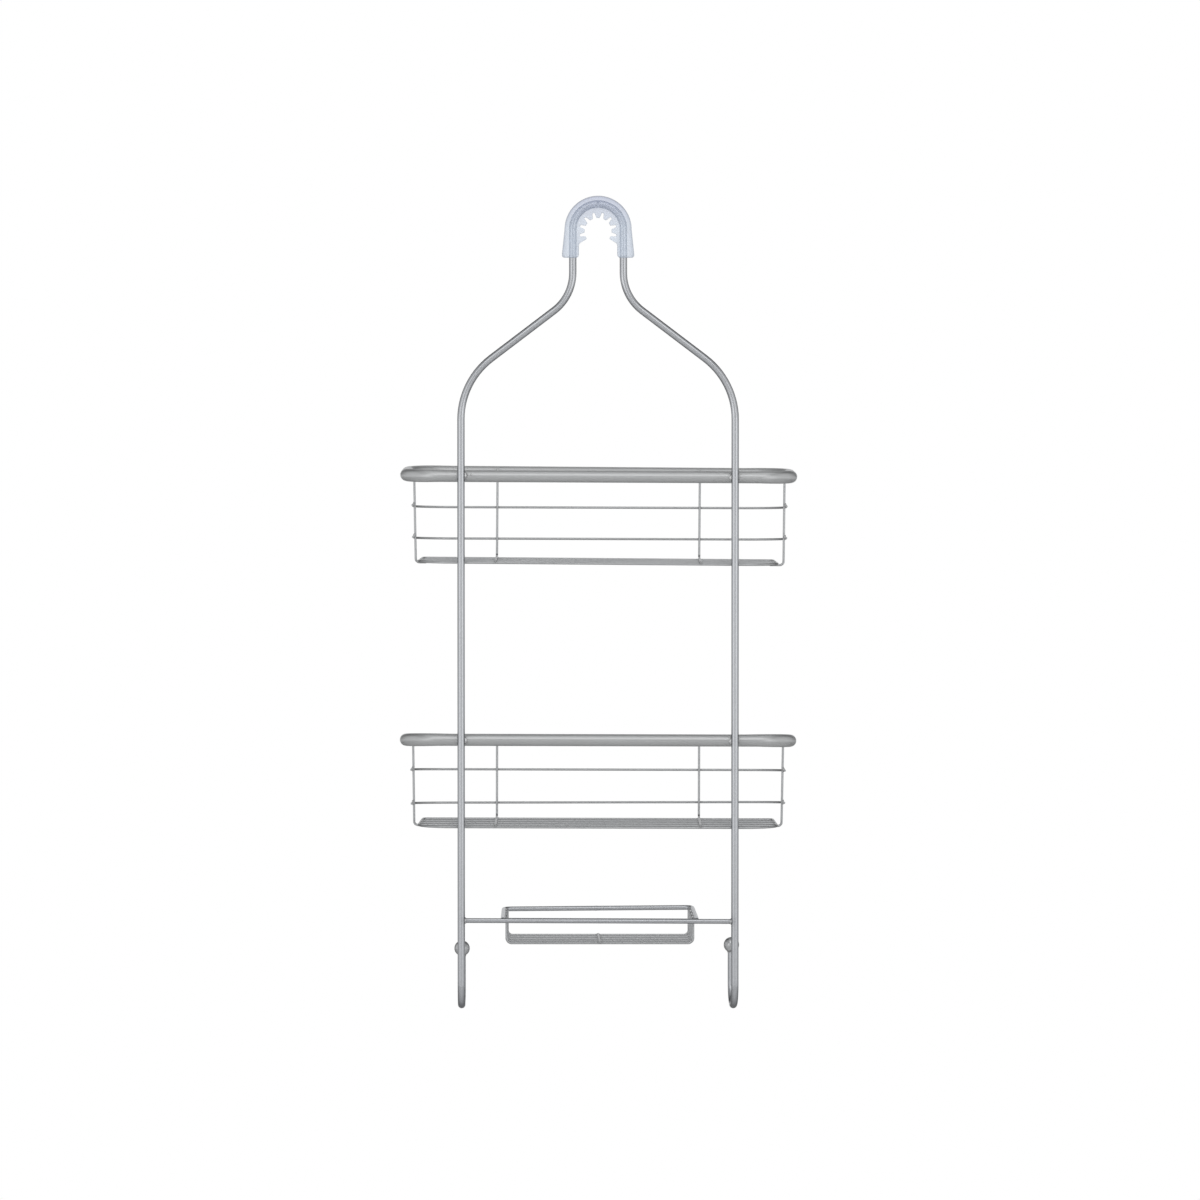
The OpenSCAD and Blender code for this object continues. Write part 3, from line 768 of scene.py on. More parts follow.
@dataclass(frozen=True)
class SoftGripFinish:
    """Pale translucent silicone that shows the rod inside it.

    Args:
        name: Name of the material.
        slot: Slot of the record that it stands for; not used.
        colour: Colour of the silicone.
        deep_colour: Colour where the mould surface is a little deeper.
        crown_colour: Darker colour over the arch.
        painted_outline_shade: Darker colour where the surface turns away, a painted shade along the
            outline.
        crown_span: Heights over the arm's axis, in metres, where the crown colour begins and is full.
        painted_edge_span: Facing where the painted outline shade begins, and where it is full.
        leg_edge: Share of the painted outline shade that the legs show.
        cloud_scale: Noise per metre of the cloudiness.
        grain_scale: Noise per metre of the mould's grain.
        facing_alpha: Cover where the surface faces the eye.
        edge_alpha: Cover where the surface turns away.
        roughness: Roughness of the moulded skin.
    """

    name: str
    slot: str
    colour: Vector3
    deep_colour: Vector3
    crown_colour: Vector3
    painted_outline_shade: Vector3
    crown_span: tuple[float, float] = (0.002, 0.025)
    painted_edge_span: tuple[float, float] = (0.25, 0.7)
    leg_edge: float = 0.4
    cloud_scale: float = 160.0
    grain_scale: float = 2600.0
    facing_alpha: float = 0.65
    edge_alpha: float = 0.97
    roughness: float = 0.34

    def material(self) -> bpy.types.Material:
        """Builds the material: cloudy colour, a painted shade along the outline, cover that grows towards
        the edges, mould grain.

        Only the skin that faces the eye covers what lies behind it, and only for the eye, so
        light reaches the rod inside as it does through clear silicone.

        Returns:
            The material.
        """
        material, shader, skin = new_material(self.name)
        place = shader.node("ShaderNodeTexCoord").outputs["Object"]
        cloud = shader.noise(place, self.cloud_scale, detail=3.0)
        grain = shader.noise(place, self.grain_scale, detail=1.0)
        height = shader.node("ShaderNodeSeparateXYZ", {0: place}).outputs["Z"]
        crown = shader.ramp(height, self.crown_span)
        facing = shader.node("ShaderNodeLayerWeight", {"Blend": 0.35}).outputs["Facing"]
        turned = shader.ramp(facing, self.painted_edge_span)
        colour = shader.blend(cloud, (*self.colour, 1), (*self.deep_colour, 1))
        colour = shader.blend(crown, colour, (*self.crown_colour, 1))
        # Painted shade: the colour darkens towards the outline, more over the arch than on the legs.
        share = shader.maths("MULTIPLY_ADD", crown, 1 - self.leg_edge, self.leg_edge)
        colour = shader.blend(shader.maths("MULTIPLY", turned, share), colour, (*self.painted_outline_shade, 1))
        cover = shader.ramp(facing, (0.0, 1.0), (self.facing_alpha, self.edge_alpha))
        front = shader.maths("SUBTRACT", 1.0, shader.node("ShaderNodeNewGeometry").outputs["Backfacing"])
        eye = shader.node("ShaderNodeLightPath").outputs["Is Camera Ray"]
        cover = shader.maths("MULTIPLY", cover, shader.maths("MULTIPLY", front, eye))
        bump = shader.node("ShaderNodeBump", {"Height": grain, **BUMP})
        shader.feed(skin, {
            "Base Color": colour, "Alpha": cover, "Normal": bump.outputs["Normal"],
            "Roughness": self.roughness, "IOR": SILICONE_IOR,
        })
        return material


@dataclass
class Wardrobe:
    """Every finish of the caddy, each made into a material once."""

    rod: CoatFinish = CoatFinish(
        "satin_rod", "rod_metal", (0.555, 0.57, 0.595), roughness=0.25,
        painted_edge_shade=0.48, painted_edge_span=(0.12, 0.55),
    )
    rim: CoatFinish = CoatFinish(
        "satin_rim_tube", "rim_metal", (0.58, 0.59, 0.595), roughness=0.40, painted_edge_shade=0.9, lines=0.01
    )
    ball: CoatFinish = CoatFinish("satin_ball", "ball_metal", (0.58, 0.59, 0.60), roughness=0.3)
    wire: CoatFinish = CoatFinish("satin_thin_wire", "wire_metal", (0.53, 0.54, 0.55), painted_edge_shade=0.46)
    # The welds' coat is a little lighter than the wire's, a painted highlight so that the lumps show
    # glints.
    weld: CoatFinish = CoatFinish(
        "coated_weld", "wire_metal", (0.6, 0.605, 0.61), roughness=0.24, pebble=1.2, lines=0.0
    )
    grip: SoftGripFinish = SoftGripFinish(
        "pale_silicone", "soft_grip", (0.76, 0.86, 1.0), (0.70, 0.81, 0.99), (0.55, 0.62, 0.82),
        (0.22, 0.25, 0.34),
    )
    made: dict[str, bpy.types.Material] = field(default_factory=dict)

    def build(self) -> None:
        """Builds the shared group and every material."""
        coat_group = build_coat_group()
        for finish in (self.rod, self.rim, self.ball, self.wire, self.weld):
            self.made[finish.name] = finish.material(coat_group)
        self.made[self.grip.name] = self.grip.material()

    def dress(self, piece: bpy.types.Object, finish: CoatFinish | SoftGripFinish, *nodes: str) -> None:
        """Gives a piece its material, its body and the CAD nodes that it stands for.

        Args:
            piece: The piece.
            finish: Its finish.
            *nodes: CAD nodes that it replaces.
        """
        piece.data.materials.append(self.made[finish.name])
        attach(piece, BODY)
        if nodes:
            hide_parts(*nodes)
        stands_for = ", ".join(nodes) or "nothing"
        log.info("%s: %d faces, stands for %s", piece.name, len(piece.data.polygons), stands_for)


# ---------------------------------------------------------------- sub-assemblies


@dataclass
class RodFrame:
    """The bent rod with its neck, shoulders, uprights and hooks, and the two balls."""

    rod_d: float = 5.8
    upright_gap: float = 214.6
    drop: float = 607.7
    neck_w: float = 39.6
    neck_len: float = 34.0
    arch_lift: float = 1.6
    shoulder_slope: float = 37.2
    neck_bend_r: float = 37.0
    shoulder_bend_r: float = 60.0
    hook_reach: float = 34.0
    hook_rise: dict[Side, float] = field(default_factory=lambda: {Side.LEFT: 43.0, Side.RIGHT: 45.8})
    hook_turn: dict[Side, float] = field(default_factory=lambda: {Side.LEFT: 0.0, Side.RIGHT: 3.6})
    ball_d: float = 12.2
    ball_socket: float = 7.0
    # The ball's dimple, and the polar angles where its close rings end and its wide ones begin.
    dimple_angle: float = 14.0
    dimple_depth: float = 0.35
    close_rings_to: float = 20.0
    wide_rings_from: float = 26.0
    # The weld collar under the ball, and how far a weld's shade spreads.
    collar_lift: float = 0.5
    rod_shade: float = 2.4
    ball_shade: float = 1.5

    @property
    def upright_x(self) -> float:
        """Distance from the middle to an upright's centre line."""
        return self.upright_gap / 2

    def hook_point(self, side: Side, z: float) -> Vector3:
        """Finds a point of a hook's tip line.

        Args:
            side: Which hook.
            z: Height of the point.

        Returns:
            The point.
        """
        turn = math.radians(self.hook_turn[side])
        reach = self.hook_reach
        return side.value * (self.upright_x - reach * math.sin(turn)), reach * math.cos(turn), z

    def half_path(self, side: Side) -> list[Vector3]:
        """Lays out one half of the rod.

        Args:
            side: Which half.

        Returns:
            Corner points from the hook's tip up to the corner of the arch.
        """
        neck_x, low_z = self.neck_w / 2, -self.drop
        turn = 90 - self.shoulder_slope
        neck_corner_z = self.arch_lift - self.neck_len - self.neck_bend_r * tan_deg(turn / 2)
        shoulder_z = neck_corner_z - (self.upright_x - neck_x) * tan_deg(self.shoulder_slope)
        tip_z = low_z + self.hook_rise[side] - self.ball_d / 2 + self.ball_socket
        x = side.value * self.upright_x
        return [
            self.hook_point(side, tip_z), self.hook_point(side, low_z), (x, 0, low_z),
            (x, 0, shoulder_z), (side.value * neck_x, 0, neck_corner_z),
            (side.value * neck_x, 0, self.arch_lift + neck_x),
        ]

    def ball_surface(self, side: Side, close: int = 10, wide: int = 26, columns: int = 40) -> Surface:
        """A ball with a small round dimple towards the wall.

        The point at polar angle t from the wall side is r (sin t cos p, -cos t, sin t sin p).
        Within the dimple's angle a of the wall side's pole it sinks by the dimple's depth
        times (1 + cos(pi t / a)) / 2.

        Args:
            side: Which hook.
            close: Rings over the dimple, the first one being its pole.
            wide: Rings over the rest of the ball, the last one being the far pole.
            columns: Vertices in each ring.

        Returns:
            The closed surface.
        """
        centre = np.array(self.hook_point(side, -self.drop + self.hook_rise[side]))
        close_rings = np.linspace(0, self.close_rings_to, close)
        wide_rings = np.linspace(self.wide_rings_from, 180, wide)
        polar = np.concatenate([close_rings[1:], wide_rings[:-1]])
        t = np.radians(polar)[:, None]
        p = circle_of(columns)[None, :]
        share = np.minimum(polar / self.dimple_angle, 1)[:, None]
        radius = self.ball_d / 2 - self.dimple_depth * (1 + np.cos(math.pi * share)) / 2
        body = radius[..., None] * np.stack(
            [np.sin(t) * np.cos(p), -np.cos(t) + 0 * p, np.sin(t) * np.sin(p)], axis=-1
        )
        poles = np.array([[0, -self.ball_d / 2 + self.dimple_depth, 0], [0, self.ball_d / 2, 0]])
        vertices = np.concatenate([body.reshape(-1, 3), poles]) + centre
        rings = len(polar)
        quads = grid_quads(rings, columns, closed_rows=False)
        return Surface.plain(vertices, quads, pole_fans(rings, columns))

    def build(self, wardrobe: Wardrobe, welds: list[Weld]) -> None:
        """Builds and dresses the rod, the balls and the welds under the balls.

        Args:
            wardrobe: The materials.
            welds: Welds of the other assemblies that touch the rod.
        """
        corners = self.half_path(Side.LEFT) + self.half_path(Side.RIGHT)[::-1]
        half_radii = [
            self.hook_reach / 2, self.hook_reach / 2, self.shoulder_bend_r, self.neck_bend_r,
            self.neck_w / 2,
        ]
        route = route_through(corners, half_radii + half_radii[::-1], (1, 0, 0), step=3.0, turn_step=4.0)
        surface = tube(route, self.rod_d, sides=32, flatten=0.02)
        shade = weld_shading(surface, welds, self.rod_shade)
        wardrobe.dress(surface.to_object("bent_frame_rod", shade), wardrobe.rod, "frame_rod")
        collars = []
        for side in Side:
            ball = self.ball_surface(side)
            low_z = -self.drop + self.hook_rise[side] - self.ball_d / 2
            x, y, _ = self.hook_point(side, low_z)
            collars.append(Weld((x, y, low_z + self.collar_lift), WeldSize.BALL_COLLAR))
            shade = weld_shading(ball, collars[-1:], self.ball_shade)
            piece = ball.to_object(f"{side.word}_hook_ball", shade)
            wardrobe.dress(piece, wardrobe.ball, f"hook_ball_{side.word}")
        piece = weld_lumps(collars, columns=28).to_object("ball_welds")
        wardrobe.dress(piece, wardrobe.weld)


@dataclass
class SoftGrip:
    """The toothed silicone sleeve over the arch of the rod."""

    tip_d: float = 21.0
    arch_lift: float = 1.6
    tube_d: float = 11.1
    shift: float = 0.85
    leg_len: float = 22.2
    foot_d: float = 15.6
    foot_round: float = 1.4
    foot_bevel: float = 1.0
    tooth_count: int = 9
    tooth_pitch: float = 29.3
    tooth_tip_w: float = 2.4
    tooth_depth: float = 4.3
    gap_end_w: float = 1.9
    lead_in_slope: float = 31.0
    web_t: float = 7.0
    neck_x: float = 19.8
    rod_d: float = 5.8
    clearance: float = 0.05
    # How much is cut off flat inside the legs, and how far from the arm's axis gaps may begin.
    flat_cut: float = 0.1
    wedge_start: float = 4.0
    # Widths over which edges and fillets are rounded.
    gap_corner: float = 0.1
    tooth_round: float = 0.5
    throat_round: float = 0.7
    leg_round: float = 0.8
    web_round: float = 0.9
    web_fillet: float = 1.6
    # Grid of the surface nets.
    cell: float = 0.42
    grid_reach: tuple[float, float] = (29.5, 8.6)
    grid_margin: float = 0.9

    @staticmethod
    def soft_max(first: Array, second: Array, width: float) -> Array:
        """Larger of two distances, rounded where they differ by less than the width."""
        share = np.maximum(width - np.abs(first - second), 0) / width
        return np.maximum(first, second) + share**2 * width / 4

    def soft_min(self, first: Array, second: Array, width: float) -> Array:
        """Smaller of two distances, rounded where they differ by less than the width."""
        return -self.soft_max(-first, -second, width)

    def gap_distance(self, x: Array, z: Array) -> Array:
        """Distance to the nearest gap between teeth, negative inside it.

        In a gap's own frame, u runs outward and v across: the gap is a wedge whose half
        width falls evenly from its mouth at the tip circle to its end, and a round end.

        Args:
            x: Positions to the right.
            z: Positions upward.

        Returns:
            The distances.
        """
        tip_r = self.tip_d / 2
        mouth = 2 * tip_r * math.sin(math.radians(self.tooth_pitch / 2)) - self.tooth_tip_w
        end_u = tip_r + self.tooth_depth - self.gap_end_w / 2
        first = 90 - self.tooth_pitch * (self.tooth_count - 1) / 2
        nearest = np.full(x.shape, math.inf)
        for number in range(self.tooth_count - 1):
            a = math.radians(first + (number + 0.5) * self.tooth_pitch)
            u, v = x * math.cos(a) + z * math.sin(a), z * math.cos(a) - x * math.sin(a)
            half = mouth / 2 + (self.gap_end_w - mouth) / 2 * (u - tip_r) / (end_u - tip_r)
            wedge = self.soft_max(np.abs(v) - np.maximum(half, 0), u - end_u, self.gap_corner)
            wedge = np.maximum(wedge, self.wedge_start - u)
            end = np.hypot(u - end_u, v) - self.gap_end_w / 2
            nearest = np.minimum(nearest, np.minimum(wedge, end))
        return nearest

    def distance(self, points: Array) -> Array:
        """Distance from points to the grip's skin, negative inside.

        The sleeve is a half ring over the arch that runs on into two flaring legs, flat
        inside and rounded at the foot. The web is a slab inside the arch, less the tip
        circle, the gaps and the way in. The two join with a fillet, and the rod's channel is
        taken out.

        Args:
            points: Points, one per row.

        Returns:
            The distances.
        """
        x, y, z = np.abs(points[:, 0]), points[:, 1], points[:, 2]
        rise = z - self.arch_lift
        arch_r, tube_r, tip_r = self.neck_x + self.shift, self.tube_d / 2, self.tip_d / 2
        over = rise > 0
        across = np.where(over, np.hypot(x, rise), x)
        flare = (self.foot_d / 2 - tube_r) / (self.leg_len - self.foot_bevel) * np.maximum(-rise, 0)
        sleeve = np.hypot(across - arch_r, y) - tube_r - flare
        flat_x = arch_r - tube_r - self.flat_cut
        foot = -self.leg_len - rise
        leg = self.soft_max(sleeve, flat_x - x, self.leg_round)
        leg = self.soft_max(leg, foot, 2 * self.foot_round)
        sleeve = np.where(over, sleeve, leg)
        first = math.radians(90 - self.tooth_pitch * (self.tooth_count - 1) / 2)
        throat = first - math.asin(self.tooth_tip_w / 2 / tip_r)
        slope = tan_deg(self.lead_in_slope)
        line = tip_r * math.sin(throat) - (x - tip_r * math.cos(throat)) * slope
        way_in = (z - line) * math.cos(math.radians(self.lead_in_slope))
        gaps = self.gap_distance(points[:, 0], z)
        hollow = self.soft_min(np.hypot(x, z) - tip_r, gaps, self.tooth_round)
        hollow = self.soft_min(hollow, way_in, self.throat_round)
        outline = np.maximum(across - (arch_r + flat_x) / 2, -hollow)
        web = self.soft_max(outline, np.abs(y) - self.web_t / 2, self.web_round)
        solid = self.soft_min(sleeve, web, self.web_fillet)
        channel = np.hypot(across - self.neck_x, y) - self.rod_d / 2 - self.clearance
        return np.maximum(np.maximum(solid, -channel), foot)

    def newton_move(self, vertices: Array) -> Array:
        """How far each vertex lies off the skin: d g / |g|^2 for distance d and slope g.

        Args:
            vertices: Vertex positions.

        Returns:
            The moves to take away, each kept within a share of a cell.
        """
        nudges = NUDGE * np.eye(3)
        rises = [self.distance(vertices + d) - self.distance(vertices - d) for d in nudges]
        slope = np.stack(rises, axis=1) / (2 * NUDGE)
        steepness = np.maximum((slope**2).sum(1, keepdims=True), LEAST_STEEPNESS)
        most = FURTHEST_MOVE * self.cell
        return np.clip(self.distance(vertices)[:, None] * slope / steepness, -most, most)

    def surface(self) -> Surface:
        """The skin where the distance is zero, by surface nets.

        The distance is worked out on a grid of cells. Each cell that the skin passes gets
        one vertex at the mean of the crossings on its twelve edges, each grid edge that
        the skin crosses gets one quad between the four cells round it, and a few Newton steps
        along the distance's own slope bring the vertices onto the skin.

        Returns:
            The closed surface.
        """
        cell, (reach_x, reach_y) = self.cell, self.grid_reach
        low_z = self.arch_lift - self.leg_len - self.grid_margin
        high_z = self.arch_lift + self.neck_x + self.shift + self.tube_d / 2 + self.grid_margin
        low, high = np.array([-reach_x, -reach_y, low_z]), np.array([reach_x, reach_y, high_z])
        shape = np.ceil((high - low) / cell).astype(int) + 1
        axes = [low[k] + cell * np.arange(shape[k]) for k in range(3)]
        places = np.stack(np.meshgrid(*axes, indexing="ij"), axis=-1)
        value = self.distance(places.reshape(-1, 3)).reshape(shape)
        inside = value < 0
        total = np.zeros((*(shape - 1), 3))
        hits = np.zeros(shape - 1)
        steps = np.eye(3, dtype=int)
        for axis in range(3):
            lower = [slice(None)] * 3
            upper = [slice(None)] * 3
            lower[axis], upper[axis] = slice(None, -1), slice(1, None)
            a, b = value[tuple(lower)], value[tuple(upper)]
            crosses = (a < 0) != (b < 0)
            share = np.where(crosses, a / np.where(crosses, a - b, 1), 0)
            where = places[tuple(lower)] + share[..., None] * cell * steps[axis]
            others = [k for k in range(3) if k != axis]
            for p in (0, 1):
                for q in (0, 1):
                    pick = [slice(None)] * 3
                    pick[others[0]] = slice(p, shape[others[0]] - 1 + p)
                    pick[others[1]] = slice(q, shape[others[1]] - 1 + q)
                    hit = crosses[tuple(pick)]
                    total += np.where(hit[..., None], where[tuple(pick)], 0)
                    hits += hit
        number = np.full(shape - 1, -1)
        number[hits > 0] = np.arange((hits > 0).sum())
        vertices = total[hits > 0] / hits[hits > 0][:, None]
        quads = []
        for axis in range(3):
            one, two = (axis + 1) % 3, (axis + 2) % 3
            lower, upper = [slice(1, -1)] * 3, [slice(1, -1)] * 3
            lower[axis], upper[axis] = slice(None, -1), slice(1, None)
            a, b = inside[tuple(lower)], inside[tuple(upper)]
            cells = np.argwhere(a != b) + (1 - steps[axis])
            around = [cells, cells - steps[one], cells - steps[one] - steps[two], cells - steps[two]]
            quad = np.stack([number[tuple(c.T)] for c in around], axis=1)
            leaving = a[a != b]
            quads.append(np.where(leaving[:, None], quad, quad[:, ::-1]))
        for _ in range(NEWTON_STEPS):
            vertices = vertices - self.newton_move(vertices)
        quads = np.concatenate(quads)
        return Surface(vertices, quads, vertices[quads][..., [0, 2]])

    def build(self, wardrobe: Wardrobe) -> None:
        """Builds and dresses the grip."""
        piece = self.surface().to_object("toothed_silicone_grip")
        wardrobe.dress(piece, wardrobe.grip, "arm_grip")


@dataclass
class Basket:
    """One basket: rim tube, two side rings, base loop, rack wires, front and end wires."""

    name: str
    drop: float
    dip: float
    slope: float
    shift: float
    ring_drops: dict[Level, float]
    ring_lifts: dict[Level, float]
    seam_x: float
    bead_places: tuple[float, ...] = ()
    sag_left: float = 0.0
    sag_right: float = 0.0
    wire_shift: float = 0.0
    foot_shift: float = 0.0
    upright_x: float = 107.3
    frame_d: float = 5.8
    rim_w: float = 312.4
    rim_depth: float = 120.0
    rim_d: float = 9.5
    rim_back_r: float = 26.0
    rim_front_r: float = 35.0
    height: float = 68.9
    wire_d: float = 1.8
    ring_corner_r: float = 31.0
    ring_rise: float = 3.0
    ring_tail: float = 2.0
    end_wire_inset: float = 5.1
    end_lean: float = 1.0
    front_wire_gap: float = 161.2
    base_side_gap: float = 2.75
    base_taper: float = 5.2
    base_back_inset: float = 4.0
    base_back_r: float = 26.0
    base_front_r: float = 5.0
    rack_count: int = 3
    front_bend_r: float = 4.0
    end_bend_r: float = 3.0
    end_toe: float = 5.0
    # Drops of coat: how far they sink into the tube and sit over its middle.
    drop_sink: float = 0.05
    drop_lift: float = 0.4
    # Welds: where they sit against the uprights, the rings and the tops of the end wires.
    upright_weld_in: float = 1.0
    upright_weld_back: float = 0.35
    ring_weld_lift: float = 0.7
    end_weld_out: float = 0.7
    # How far the welds' shade spreads on wires and rim; spread and strength at the seam.
    weld_shade: float = 1.1
    rim_shade: float = 1.6
    seam_shade: tuple[float, float] = (0.7, 0.6)
    welds: list[Weld] = field(default_factory=list)
    beads: list[Weld] = field(default_factory=list)

    def __post_init__(self) -> None:
        """Works out the places that several pieces share."""
        self.rim_x = (self.rim_w - self.rim_d) / 2
        self.rim_run = self.rim_depth - self.rim_d
        self.rim_back_y = (self.frame_d + self.rim_d) / 2
        rim_to_wire = (self.rim_d + self.wire_d) / 2
        self.tilt = math.asin(self.dip / self.rim_run)
        self.rim_front_y = self.rim_back_y + self.rim_run * math.cos(self.tilt)
        self.end_wire_x = self.rim_x - self.end_wire_inset
        self.front_wire_y = self.rim_front_y - rim_to_wire
        self.base_mid_x = self.end_wire_x - self.end_lean - self.wire_d - self.base_side_gap
        self.base_back_y = self.rim_back_y + self.base_back_inset
        self.base_front_y = self.front_wire_y - self.front_bend_r
        self.base_mid_y = (self.base_back_y + self.base_front_y) / 2

    def hang(self, points: list[Vector3] | Array) -> Array:
        """Brings points from the basket's own frame to their place under the arm."""
        return lean_about_y(np.array(points, float), self.slope) + np.array([self.shift, 0, -self.drop])

    def end_x(self, side: int, drop: float) -> float:
        """Place of an end wire's centre line this far below the rim."""
        share = drop / (self.height + self.wire_d)
        return side * self.end_wire_x + self.wire_shift + (self.foot_shift - side * self.end_lean) * share

    def end_top(self, side: int) -> float:
        """Height at which an end wire meets the rim tube.

        The rim's centre line has sunk there by its fall to the front and by its corner's
        sag; the wire's outer side meets a tube of radius R at sqrt(R^2 - a^2) below the
        centre line, where a is how far in from that line it stands.

        Args:
            side: -1 for the left end, 1 for the right.

        Returns:
            The height.
        """
        sag = self.sag_left if side < 0 else self.sag_right
        y = self.base_mid_y
        outer = self.end_wire_inset - side * self.wire_shift - self.wire_d / 2
        meet = math.sqrt(max(0.0, (self.rim_d / 2) ** 2 - outer**2))
        return -self.rim_fall(y) - sag * (1 - (y - self.rim_back_y) / self.rim_run) - meet

    def base_x(self, y: float) -> float:
        """Half the width of the base loop at depth y."""
        run = self.base_front_y - self.base_back_y
        return self.base_mid_x + self.base_taper / 2 * (self.base_mid_y - y) / run

    def rim_fall(self, y: float) -> float:
        """How far the rim's centre line at depth y lies below its back run."""
        return (y - self.rim_back_y) * math.tan(self.tilt)

    def hung_weld(self, at: Vector3, size: WeldSize) -> Weld:
        """A weld at a place in the basket's own frame."""
        return Weld(tuple(self.hang([at])[0]), size)

    @property
    def rack_numbers(self) -> range:
        """Numbers of the rack wires."""
        return range(1, self.rack_count + 1)

    def rack_y(self, number: int) -> float:
        """Depth of rack wire number i, counted from the wall side."""
        return self.base_back_y + number * (self.base_front_y - self.base_back_y) / (self.rack_count + 1)

    def note_welds(self) -> None:
        """Notes a weld wherever two pieces of the basket touch, and where it meets the frame."""
        thin, r = self.wire_d, self.wire_d / 2
        top, front_y, mid_y = -self.height + r, self.front_wire_y, self.base_mid_y
        for place in self.bead_places:
            at = (place - self.shift, self.rim_back_y - self.rim_d / 2 + self.drop_sink, self.drop_lift)
            self.beads.append(self.hung_weld(at, WeldSize.COAT_DROP))
        spots = []
        for side in (-1, 1):
            x = side * (self.upright_x - self.upright_weld_in) - self.shift
            spots.append(((x, self.frame_d / 2 + self.upright_weld_back, 0), WeldSize.RIM_ON_UPRIGHT))
            x = side * self.front_wire_gap / 2
            spots.append(((x, front_y + r, -self.rim_fall(self.rim_front_y)), WeldSize.FRONT_WIRE_TOP))
            for level, drop in self.ring_drops.items():
                lift = self.ring_lifts[level]
                slope = lift * x / (self.end_x(1, drop) - self.end_x(-1, drop) + 2 * thin)
                spots.append(((x, front_y + r, -drop + slope), WeldSize.RING_ON_FRONT_WIRE))
                z = -drop + self.ring_rise + side * lift / 2 + self.ring_weld_lift
                spots.append(((self.end_x(side, drop) + side * r, mid_y, z), WeldSize.RING_ON_END_WIRE))
            end = self.end_x(side, 0) + side * self.end_weld_out * r
            spots.append(((end, mid_y, self.end_top(side)), WeldSize.END_WIRE_TOP))
            for y in (self.base_back_y, self.base_front_y, *map(self.rack_y, self.rack_numbers)):
                spots.append(((x, y, top), WeldSize.BASE_CROSSING))
            for y in map(self.rack_y, self.rack_numbers):
                spots.append(((side * (self.base_x(y) - r), y, -self.height), WeldSize.RACK_END))
            spots.append(((side * self.base_x(mid_y), mid_y, -self.height - r), WeldSize.BASE_CROSSING))
        self.welds.extend(self.hung_weld(at, size) for at, size in spots)

    def wire(
        self, corners: list[Vector3], radii: list[float], prefer: Vector3, closed: bool = False
    ) -> Surface:
        """Surface of one thin wire through corners in the basket's own frame."""
        route = route_through(self.hang(corners), radii, prefer, closed)
        return tube(route, self.wire_d, sides=16, flatten=0.03)

    def rim_surface(self) -> Surface:
        """Rim tube with its butt seam: a ridge of SEAM_RISE exp(-(d / spread)^2).

        Returns:
            The closed surface.
        """
        c, s = math.cos(self.tilt), math.sin(self.tilt)
        x, run, back = self.rim_x, self.rim_run, self.rim_back_y
        left, right = self.sag_left, self.sag_right
        corners = [
            (-x, back - left * s, -left * c), (x, back - right * s, -right * c),
            (x, back + run * c, -run * s), (-x, back + run * c, -run * s),
        ]
        radii = [self.rim_back_r] * 2 + [self.rim_front_r] * 2
        route = route_through(self.hang(corners), radii, (0, 0, 1), closed=True, step=1.6, turn_step=3.0)
        seam = self.hang([(self.seam_x, back, 0)])[0]
        gap = np.linalg.norm(route.points - seam, axis=1)
        seam_swell = SEAM_RISE * np.exp(-((gap / RIM_SEAM_SPREAD) ** 2))
        return tube(route, self.rim_d, sides=40, swell=seam_swell, flatten=0.045, bulge=0.07)

    def ring_surface(self, level: Level) -> Surface:
        """Side ring round the front and both ends, its right end lifted.

        Args:
            level: Which ring.

        Returns:
            The closed surface.
        """
        drop, lift = self.ring_drops[level], self.ring_lifts[level] / 2
        left, right = self.end_x(-1, drop) - self.wire_d, self.end_x(1, drop) + self.wire_d
        front_y = self.front_wire_y + self.wire_d
        tail_y = self.base_mid_y - self.wire_d / 2 - self.ring_tail
        tail_z = -drop + self.ring_rise * (front_y - tail_y) / (front_y - self.base_mid_y)
        corners = [
            (left, tail_y, tail_z - lift), (left, front_y, -drop - lift),
            (right, front_y, -drop + lift), (right, tail_y, tail_z + lift),
        ]
        return self.wire(corners, [self.ring_corner_r] * 2, (0, 0, 1))

    def base_surface(self) -> Surface:
        """Base loop: wide bends at the wall side, tight ones at the front.

        Returns:
            The closed surface.
        """
        back_x, front_x, z = self.base_x(self.base_back_y), self.base_x(self.base_front_y), -self.height
        back_y, front_y = self.base_back_y, self.base_front_y
        corners = [(-back_x, back_y, z), (back_x, back_y, z), (front_x, front_y, z), (-front_x, front_y, z)]
        radii = [self.base_back_r] * 2 + [self.base_front_r] * 2
        return self.wire(corners, radii, (0, 0, 1), closed=True)

    def front_wire_surface(self, side: Side) -> Surface:
        """Front wire: down inside the rim, then back over the base wires.

        Args:
            side: Which of the two.

        Returns:
            The closed surface.
        """
        x, y, low_z = side.value * self.front_wire_gap / 2, self.front_wire_y, -self.height + self.wire_d
        corners = [
            (x, y, -self.rim_fall(self.rim_front_y)), (x, y, low_z),
            (x, self.base_back_y - self.wire_d / 2, low_z),
        ]
        return self.wire(corners, [self.front_bend_r], (1, 0, 0))

    def end_wire_surface(self, side: Side) -> Surface:
        """End wire: down inside the rim's end, then in under the base loop.

        Args:
            side: Which of the two.

        Returns:
            The closed surface.
        """
        y, drop, sign = self.base_mid_y, self.height + self.wire_d, side.value
        corners = [
            (self.end_x(sign, 0), y, self.end_top(sign)), (self.end_x(sign, drop), y, -drop),
            (sign * (self.base_mid_x - self.end_toe), y, -drop),
        ]
        return self.wire(corners, [self.end_bend_r], (0, 1, 0))

    def rack_surface(self, number: int) -> Surface:
        """Left-to-right wire of the base.

        Args:
            number: Which rack wire, counted from the wall side.

        Returns:
            The closed surface.
        """
        y = self.rack_y(number)
        reach = self.base_x(y) - self.wire_d / 2
        return self.wire([(-reach, y, -self.height), (reach, y, -self.height)], [], (0, 0, 1))

